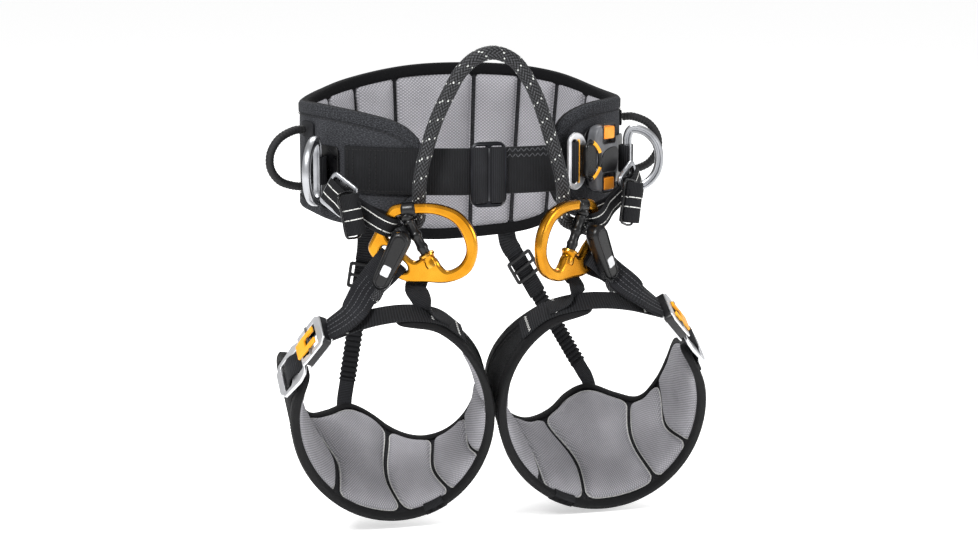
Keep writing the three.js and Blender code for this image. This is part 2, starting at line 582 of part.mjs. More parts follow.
function legBinding(leg) {
  const edge = [
    ...range(LEG_STEPS).map((t) => [padAngle(t), 0, -1]),
    ...range(LEG_STEPS).reverse().map((t) => [padAngle(t), padWidth(leg, padAngle(t)), 1]),
  ];
  const w = PAD.binding / 2;
  return loft(edge.map(([angle, s, out]) => [[half + 0.5, -w], [half + 0.5, w], [-half - 0.5, w], [-half - 0.5, -w]]
    .map(([offset, d]) => legPoint(leg, angle, s + out * d, offset))), true);
}

// Points on the outside of the loop, for straps that lie on it.
const onLoop = (leg, keys) => keys.map(([angle, s, offset]) => legPoint(leg, angle, s, half + offset));

function legBuckleBody() {
  const base = plate(roundedRect(0, 0, 36, 36, 4), [roundedRect(0, 0, 18, 20, 2, THREE.Path)], 9);
  return cut(base, block(-30, 4, -12.6, 12.6, -2.2, 2.2));
}

function ladder() {
  const outline = [[16, -8], [16, 8], [1, 11], [-3, 20], [-12, 23], [-36, 20], [-42, 12], [-42, -12], [-36, -20],
    [-12, -23], [-3, -20], [1, -11]].map(([x, y]) => new THREE.Vector2(x, y));
  const holes = [roundedRect(-8, 0, 10, 26, 2, THREE.Path), roundedRect(-28, 0, 12, 32, 3, THREE.Path)];
  return plate(outline, holes, 3);
}

function latch() {
  const outline = [[-19, -8], [-19, 8], [-8, 9.4], [8, 9.4], [8, 4], [-6, 4], [-6, -4], [8, -4], [8, -9.4], [-8, -9.4]]
    .map(([x, y]) => new THREE.Vector2(x, y));
  return plate(outline, [], 2.6);
}

const LEG_BUCKLE = { angle: 129, next: 158, s: 20, offset: 9.5 };
for (const [name, leg] of Object.entries(LEGS)) {
  const ringAt = ringFrame(RINGS[name]);
  add(`leg_shell_${name}`, legLayer(leg, half, half - PAD.shell), 'shell');
  add(`leg_lining_${name}`, legLayer(leg, -half, half - PAD.shell - GAP), 'lining');
  add(`leg_binding_${name}`, legBinding(leg), 'binding');
  const top = onLoop(leg, [[44, 17, 2.2], [60, 15, 2.2], [76, 13, 2.2], [90, 13, 2.4], [104, 15, 3], [116, 18, 5]]);
  add(`leg_strap_${name}`, strip(top, () => alongAxis, WEB.rear, WEB.thick, 16), 'webbing');

  const seat = legFrame(leg, LEG_BUCKLE.angle, LEG_BUCKLE.next, LEG_BUCKLE.s, half + LEG_BUCKLE.offset);
  add(`leg_buckle_${name}`, legBuckleBody(), 'steel', seat);
  add(`leg_latch_${name}`, latch().translate(-1, 0, 6.2), 'yellow', seat);
  const slide = seat.clone().multiply(new THREE.Matrix4().makeTranslation(-20, 0, 0));
  add(`leg_tongue_${name}`, ladder(), 'silver', slide);

  const outerArm = V(-44, -26, -4).applyMatrix4(ringAt);
  const innerArm = V(-14, -41.5, -1).applyMatrix4(ringAt);
  const outerEnd = legPoint(leg, 110, 17, half + 12);
  const innerEnd = legPoint(leg, leg.inner, 20, half + 10);
  const armAlong = V(32, -28, 0).normalize().transformDirection(ringAt);
  const bow = V(1, 0, 0).transformDirection(ringAt);
  add(`leg_riser_outer_${name}`, strip([outerArm, outerArm.clone().lerp(outerEnd, 0.45).add(V(0, 12, 0)), outerEnd],
    (t) => armAlong.clone().lerp(alongAxis, t), WEB.riser, 3.4, 8), 'webbing');
  add(`leg_riser_inner_${name}`, strip([innerArm, innerArm.clone().lerp(innerEnd, 0.5), innerEnd],
    (t) => bow.clone().lerp(alongAxis, t), (t) => lerp(WEB.riser, 15, t), 3, 8), 'webbing');
}

// ---------------------------------------------------------------- rear straps
const REAR = { left: { x: -71, clear: 3.6 }, right: { x: 72, clear: 3.6 } };
const HUMP = -110;
for (const [name, leg] of Object.entries(LEGS)) {
  const hump = legPoint(leg, HUMP + leg.turn, padWidth(leg, HUMP + leg.turn) + PAD.binding / 2 + 7, 0);
  const start = V(REAR[name].x, 98, -109.5);
  const at = (t) => start.clone().lerp(hump, t);
  const across = V(Math.cos(rad(12)), leg.side * Math.sin(rad(12)), 0);
  const down = at(1).sub(at(0)).normalize();
  const front = down.clone().cross(across).normalize();
  add(`rear_strap_${name}`, strip([at(0), at(0.3), at(0.6), at(1)], () => across, WEB.rear, 3, 12), 'webbing');
  const holes = [0, 11].map((x) => roundedRect(x, 0, 8, WEB.rear + 1.6, 1, THREE.Path));
  add(`rear_buckle_${name}`, plate(roundedRect(5.5, 0, 26, WEB.rear + 8, 3), holes, 3), 'plastic',
    frameOf(at(0.16).addScaledVector(front, REAR[name].clear), down, across));
}

export default group;
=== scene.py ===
"""Tree climbing saddle: the visual model. Lengths are millimetres until a mesh is made, then metres."""

import bisect
import math

import bpy
from mathutils import Matrix, Vector


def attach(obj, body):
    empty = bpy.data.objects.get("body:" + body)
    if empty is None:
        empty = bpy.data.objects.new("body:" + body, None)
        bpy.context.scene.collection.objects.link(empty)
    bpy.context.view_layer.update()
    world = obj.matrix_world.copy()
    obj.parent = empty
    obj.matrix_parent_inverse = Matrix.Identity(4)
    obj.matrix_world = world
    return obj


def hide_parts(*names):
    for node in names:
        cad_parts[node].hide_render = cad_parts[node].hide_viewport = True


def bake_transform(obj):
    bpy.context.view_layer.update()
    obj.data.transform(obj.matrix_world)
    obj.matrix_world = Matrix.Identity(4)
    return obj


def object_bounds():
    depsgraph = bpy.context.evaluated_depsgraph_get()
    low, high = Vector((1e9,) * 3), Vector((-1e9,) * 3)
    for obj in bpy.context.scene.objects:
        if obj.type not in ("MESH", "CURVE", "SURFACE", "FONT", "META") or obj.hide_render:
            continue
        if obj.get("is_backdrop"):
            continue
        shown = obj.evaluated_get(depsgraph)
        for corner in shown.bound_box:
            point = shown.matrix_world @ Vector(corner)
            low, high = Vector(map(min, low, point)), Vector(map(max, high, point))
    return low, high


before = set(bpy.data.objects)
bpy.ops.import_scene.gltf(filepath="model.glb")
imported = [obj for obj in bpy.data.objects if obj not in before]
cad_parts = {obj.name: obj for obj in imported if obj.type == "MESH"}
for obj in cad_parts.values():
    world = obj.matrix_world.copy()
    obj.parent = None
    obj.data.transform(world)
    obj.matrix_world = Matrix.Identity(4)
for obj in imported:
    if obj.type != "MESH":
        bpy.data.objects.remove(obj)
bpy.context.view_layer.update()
scene = bpy.context.scene
MM = 0.001
UP = Vector((0, 0, 1))

# ---------------------------------------------------------------- driving dimensions
GAP = 0.4
BELT = {"a": 154, "b": 112, "shell": 4, "lining": 7.5}
WING_LEFT, WING_RIGHT = 248, -68
STRAP = {"width": 43, "thick": 2.5, "z": -6.5}
PAD = {"shell": 3, "lining": 7}
WEB = {"riser": 24, "rear": 22, "thick": 2.2}
ROPE_D = 13
GEAR_D = 8
RING_THICK = 9
LEGS = {
    "left": {"side": -1, "cx": -85.5, "cv": 42, "ax": 91, "av": 133, "lean": -0.15, "turn": 0, "wide": 0.97,
             "drop": 1, "inner": 72},
    "right": {"side": 1, "cx": 119, "cv": 39, "ax": 98, "av": 136, "lean": -0.18, "turn": 9, "wide": 1.08,
              "drop": 0.65, "inner": 78},
}
RINGS = {
    "left": {"side": -1, "at": (-62, -131, -68), "yaw": 22, "hang": -12},
    "right": {"side": 1, "at": (64, -139, -70), "yaw": 34, "hang": -10},
}


# ---------------------------------------------------------------- numbers and curves
def lerp(a, b, t):
    return a + (b - a) * t


def clamp(x, low, high):
    return max(low, min(high, x))


def hermite(t):
    """The weights of a span's start, start slope, end and end slope at a share of it."""
    t2, t3 = t * t, t * t * t
    return 2 * t3 - 3 * t2 + 1, t3 - 2 * t2 + t, 3 * t2 - 2 * t3, t3 - t2


def profile(keys):
    """Smooth value through (position, value) keys, with flat ends."""
    def slope(i):
        if i in (0, len(keys) - 1):
            return 0
        return (keys[i + 1][1] - keys[i - 1][1]) / (keys[i + 1][0] - keys[i - 1][0])

    def value(x):
        i = 0
        while i < len(keys) - 2 and x > keys[i + 1][0]:
            i += 1
        span = keys[i + 1][0] - keys[i][0]
        a, b, c, d = hermite(clamp((x - keys[i][0]) / span, 0, 1))
        return a * keys[i][1] + b * span * slope(i) + c * keys[i + 1][1] + d * span * slope(i + 1)
    return value


def smooth(points, per=10, closed=False):
    """A centripetal Catmull-Rom curve through the points, as a dense row of points."""
    pts = [Vector(p) for p in points]
    n = len(pts)
    out = []
    for i in range(n if closed else n - 1):
        p1, p2 = pts[i], pts[(i + 1) % n]
        p0 = pts[i - 1] if closed or i > 0 else p1 * 2 - p2
        p3 = pts[(i + 2) % n] if closed or i + 2 < n else p2 * 2 - p1
        d0, d1, d2 = (max((b - a).length, 1e-6) ** 0.5 for a, b in ((p0, p1), (p1, p2), (p2, p3)))
        m1 = ((p1 - p0) / d0 - (p2 - p0) / (d0 + d1) + (p2 - p1) / d1) * d1
        m2 = ((p2 - p1) / d1 - (p3 - p1) / (d1 + d2) + (p3 - p2) / d2) * d1
        for a, b, c, d in (hermite(k / per) for k in range(per)):
            out.append(p1 * a + m1 * b + p2 * c + m2 * d)
    if not closed:
        out.append(pts[-1])
    return out


class Path:
    """A row of points that can be read at any share of its length."""

    def __init__(self, points, closed=False):
        self.points = list(points) + ([points[0]] if closed else [])
        self.marks = [0.0]
        for a, b in zip(self.points, self.points[1:]):
            self.marks.append(self.marks[-1] + (b - a).length)
        self.length = self.marks[-1]

    def at(self, t):
        x = clamp(t, 0, 1) * self.length
        i = clamp(bisect.bisect_right(self.marks, x) - 1, 0, len(self.points) - 2)
        span = self.marks[i + 1] - self.marks[i]
        return self.points[i].lerp(self.points[i + 1], (x - self.marks[i]) / span if span else 0)

    def tangent(self, t):
        e = 1.0 / self.length
        return (self.at(min(1, t + e)) - self.at(max(0, t - e))).normalized()

    def steps(self, spacing):
        count = max(2, round(self.length / spacing))
        return [i / count for i in range(count + 1)]


def rounded_rect(cx, cy, width, height, radius, steps=6):
    points = []
    for k, (sx, sy) in enumerate([(1, -1), (1, 1), (-1, 1), (-1, -1)]):
        for i in range(steps + 1):
            a = math.radians(-90 + 90 * k + 90 * i / steps)
            points.append((cx + sx * (width / 2 - radius) + radius * math.cos(a),
                           cy + sy * (height / 2 - radius) + radius * math.sin(a)))
    return points


def mirrored(half):
    """An outline from its half on one side of y = 0: the points, then their mirror images in reverse."""
    return half + [(x, -y) for x, y in reversed(half) if y]


def around(sides):
    """Equally spaced angles round a circle."""
    return [2 * math.pi * j / sides for j in range(sides)]


def square_pair(axis):
    """Two directions square to an axis and to each other."""
    n = axis.orthogonal().normalized()
    return n, axis.cross(n)


def girth(section):
    """The distance round a closed section at each of its points, and back at the first."""
    u = [0.0]
    for (x0, y0), (x1, y1) in zip(section, section[1:] + section[:1]):
        u.append(u[-1] + math.hypot(x1 - x0, y1 - y0))
    return u


def two_slots(length, width, bar, radius):
    """The two slots of a webbing frame with a middle bar."""
    slot = (length - 3 * bar) / 2
    return [rounded_rect(k * (slot + bar) / 2, 0, slot, width - 2 * bar, radius) for k in (-1, 1)]


def frame_of(origin, x, y):
    """A matrix whose local X, Y and Z run along the given directions."""
    x = Vector(x).normalized()
    z = x.cross(Vector(y)).normalized()
    y = z.cross(x)
    m = Matrix((x, y, z)).transposed().to_4x4()
    m.translation = Vector(origin)
    return m


def turned_direction(matrix, v):
    return (matrix.to_3x3() @ Vector(v)).normalized()


def placed(matrix, points):
    """Points given in a local frame; a pair is (x, z) in the frame's middle plane."""
    return [matrix @ (Vector(p) if len(p) == 3 else Vector((p[0], 0, p[1]))) for p in points]


def lifted(matrix, x, y, z):
    return matrix @ Matrix.Translation((x, y, z))


# ---------------------------------------------------------------- meshes
def linked(name, data):
    """A new object in the scene."""
    obj = bpy.data.objects.new(name, data)
    scene.collection.objects.link(obj)
    return obj


def evaluated_mesh(obj):
    """The mesh that an object's curves or modifiers make."""
    bpy.context.view_layer.update()
    return bpy.data.meshes.new_from_object(obj.evaluated_get(bpy.context.evaluated_depsgraph_get()))


def finish_mesh(name, mesh, look, angle=40):
    """Links a mesh as an object with the look of that name, shaded smooth up to an angle."""
    mesh.shade_smooth()
    mesh.set_sharp_from_angle(angle=math.radians(angle))
    obj = linked(name, mesh)
    mesh.materials.clear()
    mesh.materials.append(LOOKS[look])
    return obj


def make_mesh(name, verts, faces, uvs, look, angle=40):
    """A mesh from points in mm; uvs holds one (u, v) in mm for each corner of each face."""
    mesh = bpy.data.meshes.new(name)
    mesh.from_pydata([v * MM for v in verts], [], faces)
    layer = mesh.uv_layers.new(name="Thread")
    layer.data.foreach_set("uv", [x for face in uvs for uv in face for x in uv])
    mesh.update()
    if signed_volume(verts, faces) < 0:
        mesh.flip_normals()
    return finish_mesh(name, mesh, look, angle)


def signed_volume(verts, faces):
    total = 0.0
    for face in faces:
        for k in range(1, len(face) - 1):
            total += verts[face[0]].dot(verts[face[k]].cross(verts[face[k + 1]]))
    return total


def skin(name, rings, across, look, closed=False, angle=40):
    """Skins a row of equal closed rings of points. across holds u for each ring point, and one more."""
    count = len(rings[0])
    verts = [p for ring in rings for p in ring]
    rows = len(rings) if closed else len(rings) - 1
    along = [0.0]
    for a, b in zip(rings, rings[1:] + rings[:1]):
        along.append(along[-1] + (sum(b, Vector((0, 0, 0))) - sum(a, Vector((0, 0, 0)))).length / count)
    faces, uvs = [], []
    for i in range(rows):
        a, b = i * count, ((i + 1) % len(rings)) * count
        for j in range(count):
            k = (j + 1) % count
            faces.append((a + j, a + k, b + k, b + j))
            uvs.append([(across[j], along[i]), (across[j + 1], along[i]), (across[j + 1], along[i + 1]),
                        (across[j], along[i + 1])])
    if not closed:
        end = (len(rings) - 1) * count
        faces.append(tuple(reversed(range(count))))
        uvs.append([(across[j], 0) for j in reversed(range(count))])
        faces.append(tuple(range(end, end + count)))
        uvs.append([(across[j], along[-2]) for j in range(count)])
    return make_mesh(name, verts, faces, uvs, look, angle)


def web_section(width, thick):
    """A flat webbing section with soft edges."""
    h, e = width / 2, thick / 2
    edge = [(h - 1.4 * e, -e), (h - 0.4 * e, -0.75 * e), (h, 0), (h - 0.4 * e, 0.75 * e), (h - 1.4 * e, e)]
    return [(0, -e), *edge, (0, e), *[(-x, y) for x, y in reversed(edge)]]


def web_across(width, thick):
    """The webbing's thread coordinate across it, for each point of its section and the first again."""
    u = [x for x, y in web_section(width, thick)]
    return u + u[:1]


def square_to(tangent, direction):
    return (direction - tangent * tangent.dot(direction)).normalized()


def steady(value):
    """A function of the share along a path, from one or from a fixed value."""
    return value if callable(value) else lambda t: value


def strip(name, points, across, width, thick, look, spacing=3.0, wave=None):
    """Flat webbing along a curve through points; across is the direction of its width."""
    path = Path(smooth(points))
    across, width = steady(across), steady(width)
    rings = []
    for t in path.steps(spacing):
        tangent = path.tangent(t)
        w = square_to(tangent, across(t))
        n = tangent.cross(w)
        lift = wave(t * path.length) if wave else 0
        rings.append([path.at(t) + w * x + n * (y + lift) for x, y in web_section(width(t), thick)])
    return skin(name, rings, web_across(width(0.5), thick), look)


def folded(name, points, across, width, thick, bar_radius, look, spacing=2.0):
    """Webbing folded round a bar at the last point, both layers running back along the curve."""
    path = Path(smooth(points))
    across, width = steady(across), steady(width)
    loop = bar_radius + GAP + thick / 2
    reach = 3 * bar_radius
    front, back = [], []
    for t in path.steps(spacing):
        x = clamp((reach - path.length * (1 - t)) / reach, 0, 1)
        offset = lerp(thick / 2 + GAP / 2, loop, x * x * (3 - 2 * x))
        tangent = path.tangent(t)
        w = square_to(tangent, across(t))
        n = tangent.cross(w)
        front.append((path.at(t) + n * offset, w, width(t)))
        back.insert(0, (path.at(t) - n * offset, w, width(t)))
    for k in range(1, 10):
        turn = math.pi * k / 10
        front.append((path.at(1) + n * loop * math.cos(turn) + tangent * loop * math.sin(turn), w, width(1)))
    line = front + back
    rings = []
    for i, (p, w, size) in enumerate(line):
        along = (line[min(i + 1, len(line) - 1)][0] - line[max(i - 1, 0)][0]).normalized()
        w = square_to(along, w)
        n = along.cross(w)
        rings.append([p + w * x + n * y for x, y in web_section(size, thick)])
    return skin(name, rings, web_across(width(0), thick), look)


def tube(name, points, radius, look, sides=16, spacing=2.0, closed=False, angle=60, dense=10):
    """A round tube; radius is a number or a function of the angle and the distance along it."""
    path = Path(smooth(points, dense, closed), closed)
    steps = path.steps(spacing)[:-1] if closed else path.steps(spacing)
    last = path.tangent(0)
    n = last.orthogonal().normalized()
    rings = []
    for t in steps:
        tangent = path.tangent(t)
        n = square_to(tangent, last.rotation_difference(tangent) @ n)
        b = tangent.cross(n)
        last = tangent
        ring = []
        for a in around(sides):
            r = radius(a, t * path.length) if callable(radius) else radius
            ring.append(path.at(t) + n * r * math.cos(a) + b * r * math.sin(a))
        rings.append(ring)
    mean = radius if not callable(radius) else radius(0, path.length / 2)
    u = [2 * math.pi * mean * j / sides for j in range(sides + 1)]
    return skin(name, rings, u, look, closed, angle)


def turned(name, steps, start, axis, look, sides=28, angle=35):
    """A turned body: steps are (radius, height) along the axis from start."""
    axis = Vector(axis).normalized()
    n, b = square_pair(axis)
    rings = [[Vector(start) + axis * h + (n * math.cos(a) + b * math.sin(a)) * r for a in around(sides)]
             for r, h in steps]
    widest = max(r for r, h in steps)
    return skin(name, rings, [2 * math.pi * widest * j / sides for j in range(sides + 1)], look, False, angle)


def plate(name, outline, holes, thick, bevel, matrix, look, rounds=3, angle=35):
    """A flat plate with holes, its thickness along local Z and centred on it, with rounded edges."""
    data = bpy.data.curves.new(name, "CURVE")
    data.dimensions = "2D"
    data.fill_mode = "BOTH"
    data.extrude = (thick / 2 - bevel) * MM
    data.bevel_depth = bevel * MM
    data.bevel_resolution = rounds
    data.offset = -bevel * MM
    for number, points in enumerate([outline, *holes]):
        points = [tuple(p) for p in points]
        area = sum(x0 * y1 - x1 * y0 for (x0, y0), (x1, y1) in zip(points, points[1:] + points[:1]))
        if (area < 0) == (number == 0):
            points.reverse()
        spline = data.splines.new("POLY")
        spline.points.add(len(points) - 1)
        for corner, (x, y) in zip(spline.points, points):
            corner.co = (x * MM, y * MM, 0, 1)
        spline.use_cyclic_u = True
    holder = linked(name + "_outline", data)
    mesh = evaluated_mesh(holder)
    bpy.data.objects.remove(holder)
    in_metres = matrix.copy()
    in_metres.translation = matrix.translation * MM
    mesh.transform(in_metres)
    if matrix.determinant() < 0:
        mesh.flip_normals()
    return finish_mesh(name, mesh, look, angle)


def spindles(name, lines, radius, look):
    """Short raised stitches, one for each (start, end) pair of points, as one mesh."""
    sides = 6
    verts, faces = [], []
    for start, end in lines:
        n, b = square_pair((end - start).normalized())
        first = len(verts)
        for share, scale in ((0, 0.35), (0.2, 1), (0.8, 1), (1, 0.35)):
            for a in around(sides):
                verts.append(start.lerp(end, share) + (n * math.cos(a) + b * math.sin(a)) * radius * scale)
        for row in range(first, first + 3 * sides, sides):
            for j in range(sides):
                k = (j + 1) % sides
                faces.append((row + j, row + k, row + sides + k, row + sides + j))
        faces.append(tuple(first + j for j in reversed(range(sides))))
        faces.append(tuple(first + 3 * sides + j for j in range(sides)))
    return make_mesh(name, verts, faces, [[(0, 0)] * len(face) for face in faces], look, 60)


def dashes(points, length=2.8, gap=1.4):
    """Stitch lines along a row of points on a surface."""
    path = Path(points)
    starts = [i * (length + gap) for i in range(int(path.length / (length + gap)))]
    return [(path.at(x / path.length), path.at((x + length) / path.length)) for x in starts]


# ---------------------------------------------------------------- looks
def rgb(value):
    """A hexadecimal colour as linear RGBA."""
    parts = [((value >> shift) & 255) / 255 for shift in (16, 8, 0)]
    return (*[p / 12.92 if p <= 0.04045 else ((p + 0.055) / 1.055) ** 2.4 for p in parts], 1)


class Look:
    """Builds one procedural material."""

    def __init__(self, name, roughness, metallic=0.0, **sockets):
        self.material = bpy.data.materials.new(name)
        self.material.use_nodes = True
        self.tree = self.material.node_tree
        self.shader = self.tree.nodes["Principled BSDF"]
        self.shader.inputs["Roughness"].default_value = roughness
        self.shader.inputs["Metallic"].default_value = metallic
        for key, value in sockets.items():
            self.shader.inputs[key.replace("_", " ")].default_value = value

    def node(self, kind):
        return self.tree.nodes.new(kind)

    def put(self, socket, value):
        if isinstance(value, bpy.types.NodeSocket):
            self.tree.links.new(value, socket)
        else:
            socket.default_value = value

    def math(self, operation, a, b=0.0, c=0.0):
        node = self.node("ShaderNodeMath")
        node.operation = operation
        for socket, value in zip(node.inputs, (a, b, c)):
            self.put(socket, value)
        return node.outputs[0]

    def mix(self, share, a, b):
        node = self.node("ShaderNodeMix")
        node.data_type = "RGBA"
        node.clamp_factor = True
        self.put(node.inputs[0], share)
        self.put(node.inputs[6], a)
        self.put(node.inputs[7], b)
        return node.outputs[2]

    def thread(self):
        """The surface's own coordinates in mm: across and along."""
        node = self.node("ShaderNodeUVMap")
        node.uv_map = "Thread"
        return node.outputs[0]

    def place(self):
        """Object coordinates in mm."""
        node = self.node("ShaderNodeVectorMath")
        node.operation = "SCALE"
        self.put(node.inputs[0], self.node("ShaderNodeTexCoord").outputs["Object"])
        node.inputs["Scale"].default_value = 1000
        return node.outputs[0]

    def split(self, vector):
        """A vector's first two numbers."""
        node = self.node("ShaderNodeSeparateXYZ")
        self.put(node.inputs[0], vector)
        return node.outputs[0], node.outputs[1]

    def wave(self, x, pitch, shift=0.0):
        """A smooth ripple from 0 to 1 with the pitch in mm."""
        turn = self.math("MULTIPLY_ADD", x, 2 * math.pi / pitch, shift)
        return self.math("MULTIPLY_ADD", self.math("SINE", turn), 0.5, 0.5)

    def noise(self, vector, size, detail=2.0, stretch=(1, 1, 1)):
        """Noise with features of about the size in mm."""
        scale = self.node("ShaderNodeVectorMath")
        scale.operation = "MULTIPLY"
        self.put(scale.inputs[0], vector)
        scale.inputs[1].default_value = [s / size for s in stretch]
        node = self.node("ShaderNodeTexNoise")
        self.put(node.inputs["Vector"], scale.outputs[0])
        node.inputs["Scale"].default_value = 1.0
        node.inputs["Detail"].default_value = detail
        return node.outputs["Fac"]

    def contrast(self, value, low, high):
        node = self.node("ShaderNodeMapRange")
        node.interpolation_type = "SMOOTHSTEP"
        self.put(node.inputs["Value"], value)
        node.inputs["From Min"].default_value = low
        node.inputs["From Max"].default_value = high
        return node.outputs["Result"]

    def bump(self, height, depth):
        """Bump with the depth in mm between heights 0 and 1."""
        node = self.node("ShaderNodeBump")
        node.inputs["Strength"].default_value = 1.0
        node.inputs["Distance"].default_value = depth * MM
        self.put(node.inputs["Height"], height)
        self.put(self.shader.inputs["Normal"], node.outputs[0])

    def color(self, value):
        self.put(self.shader.inputs["Base Color"], value)

    def rough(self, value):
        self.put(self.shader.inputs["Roughness"], value)


def cloth_look(name, dark, light, weave=1.2):
    """Heathered woven cloth."""
    look = Look(name, 0.9, Specular_IOR_Level=0.15)
    uv = look.thread()
    u, v = look.split(uv)
    warp = look.wave(u, weave)
    weft = look.wave(v, weave, 1.0)
    yarn = look.noise(uv, 0.9, 3.0, (1, 0.4, 1))
    fleck = look.contrast(yarn, 0.42, 0.68)
    soil = look.contrast(look.noise(look.place(), 45, 3.0), 0.3, 0.8)
    tone = look.math("MULTIPLY_ADD", soil, 0.25, look.math("MULTIPLY", fleck, 0.75))
    look.color(look.mix(tone, rgb(dark), rgb(light)))
    look.bump(look.math("ADD", look.math("MULTIPLY", warp, weft), look.math("MULTIPLY", yarn, 0.6)), 0.25)
    return look.material


def mesh_look(name, dark, light, pitch=3.0):
    """Knitted spacer lining: small diagonal cells, darker in their low parts, since the tone follows the
    cells' bump height; the recesses carry painted shade.
    """
    look = Look(name, 0.95, Specular_IOR_Level=0.15)
    uv = look.thread()
    u, v = look.split(uv)
    rise = look.wave(look.math("ADD", u, v), pitch)
    fall = look.wave(look.math("SUBTRACT", u, v), pitch)
    cell = look.math("SQRT", look.math("MULTIPLY", rise, fall))
    soft = look.contrast(look.noise(uv, 40, 2.0), 0.2, 0.85)
    yarn = look.noise(uv, 0.7, 2.0)
    # The cell pattern sets both tone and bump, so its recesses are painted darker: painted shade over the
    # knit's own pattern.
    tone = look.math("MULTIPLY_ADD", cell, 0.55, look.math("MULTIPLY", yarn, 0.45))
    look.color(look.mix(look.math("MULTIPLY_ADD", soft, 0.16, tone), rgb(dark), rgb(light)))
    look.bump(look.math("MULTIPLY_ADD", yarn, 0.3, cell), 0.3)
    return look.material


def web_look(name, dark, light, pitch=1.7, depth=0.32, stripes=()):
    """Webbing with ribs across it, fine yarns along it and optional pale lines along it; the ribs' tone
    follows their bump height, so the grooves carry painted shade.
    """
    look = Look(name, 0.75, Specular_IOR_Level=0.2)
    uv = look.thread()
    u, v = look.split(uv)
    rib = look.wave(v, pitch)
    yarn = look.wave(u, 0.9)
    grain = look.noise(uv, 0.8, 3.0, (1, 0.5, 1))
    worn = look.contrast(look.noise(look.place(), 22, 3.0), 0.45, 0.8)
    # The rib wave lightens the tone where the bump is high: painted shade in the grooves between ribs, over
    # the yarns' own grain.
    tone = look.math("MULTIPLY_ADD", rib, 0.5, look.math("MULTIPLY", grain, 0.35))
    shade = look.mix(look.math("MULTIPLY_ADD", worn, 0.2, tone), rgb(dark), rgb(light))
    for at in stripes:
        line = look.math("COMPARE", u, at, 0.45)
        broken = look.math("MULTIPLY", line, look.contrast(look.noise(uv, 2.2, 2.0), 0.3, 0.5))
        shade = look.mix(broken, shade, rgb(0xd8d8d4))
    look.color(shade)
    look.bump(look.math("MULTIPLY_ADD", yarn, 0.25, rib), depth)
    return look.material


def metal_look(name, dark, light, roughness, edge_wear_and_highlight=0xf2f2f0, grain_stretch=(1, 1, 0.15)):
    """Anodised or polished alloy: fine brushing, faint scratches, and convex edges mixed towards a paler
    colour, partly rubbed wear and partly a painted highlight.
    """
    look = Look(name, roughness, 1.0)
    place = look.place()
    brush = look.noise(place, 0.5, 3.0, grain_stretch)
    cloud = look.contrast(look.noise(place, 30, 2.0), 0.2, 0.85)
    scratch = look.contrast(look.noise(place, 3.5, 4.0, (3, 0.2, 1)), 0.62, 0.7)
    edge = look.contrast(look.node("ShaderNodeNewGeometry").outputs["Pointiness"], 0.52, 0.62)
    shade = look.mix(cloud, rgb(dark), rgb(light))
    # Convex edges (pointiness) turn towards the paler edge colour: partly rubbed wear, partly a painted
    # highlight.
    look.color(look.mix(look.math("MULTIPLY", edge, 0.35), shade, rgb(edge_wear_and_highlight)))
    matt = look.math("MULTIPLY_ADD", cloud, 0.06, roughness - 0.03)
    look.rough(look.math("MULTIPLY_ADD", scratch, 0.1, matt))
    look.bump(look.math("MULTIPLY_ADD", scratch, -0.5, brush), 0.004)
    return look.material


def plastic_look(name, dark, light, roughness, grain=0.45, depth=0.05):
    """Moulded plastic or rubber: fine grain, slight tone changes, scuffed edges."""
    look = Look(name, roughness, 0.0, Specular_IOR_Level=0.38)
    place = look.place()
    fine = look.noise(place, grain, 2.0)
    cloud = look.contrast(look.noise(place, 11, 3.0), 0.3, 0.75)
    scuff = look.contrast(look.noise(place, 2.4, 4.0, (1, 0.3, 2)), 0.64, 0.72)
    edge = look.contrast(look.node("ShaderNodeNewGeometry").outputs["Pointiness"], 0.53, 0.62)
    tone = look.math("MULTIPLY_ADD", edge, 0.45, look.math("MULTIPLY", cloud, 0.4))
    look.color(look.mix(tone, rgb(dark), rgb(light)))
    look.rough(look.math("MULTIPLY_ADD", scuff, 0.15, look.math("MULTIPLY_ADD", cloud, 0.1, roughness)))
    look.bump(look.math("MULTIPLY_ADD", scuff, -0.6, fine), depth)
    return look.material


def thread_look(name, dark, light):
    look = Look(name, 0.8, 0.0)
    twist = look.noise(look.place(), 0.7, 2.0)
    look.color(look.mix(look.contrast(twist, 0.35, 0.7), rgb(dark), rgb(light)))
    look.bump(twist, 0.1)
    return look.material


def tape_look(name, dark, light, outer_dark, outer_light, split):
    """Edge tape: heathered cloth on the outer face, black on the edge and the worn face."""
    look = Look(name, 0.9, Specular_IOR_Level=0.15)
    uv = look.thread()
    u, v = look.split(uv)
    grain = look.noise(uv, 0.9, 3.0, (1, 0.5, 1))
    rib = look.wave(v, 0.9)
    black = look.mix(grain, rgb(dark), rgb(light))
    cloth = look.mix(look.contrast(grain, 0.4, 0.65), rgb(outer_dark), rgb(outer_light))
    look.color(look.mix(look.contrast(u, split, split + 0.6), cloth, black))
    look.bump(look.math("MULTIPLY_ADD", rib, 0.5, grain), 0.2)
    return look.material


def rope_look():
    """Black braid with white tracer yarns; the mesh marks its strands' crowns and the white ones. The crowns
    are painted lighter than the valleys between strands, a painted highlight and shade.
    """
    look = Look("rope_braid", 0.6, Specular_IOR_Level=0.3)
    marks = {}
    for key in ("crown", "tracer"):
        node = look.node("ShaderNodeAttribute")
        node.attribute_name = key
        marks[key] = node.outputs["Fac"]
    fibre = look.noise(look.thread(), 0.6, 3.0, (1, 0.3, 1))
    # Strand crowns are painted paler and the valleys darker: painted highlight and shade on the black yarn.
    crown = look.math("MULTIPLY", look.contrast(marks["crown"], 0.5, 0.95), look.contrast(fibre, 0.1, 0.6))
    black = look.mix(crown, rgb(0x020203), rgb(0x434447))
    white = look.mix(look.contrast(fibre, 0.3, 0.7), rgb(0x8d8f8d), rgb(0xe4e6e2))
    look.color(look.mix(look.contrast(marks["tracer"], 0.35, 0.6), black, white))
    look.bump(fibre, 0.15)
    return look.material


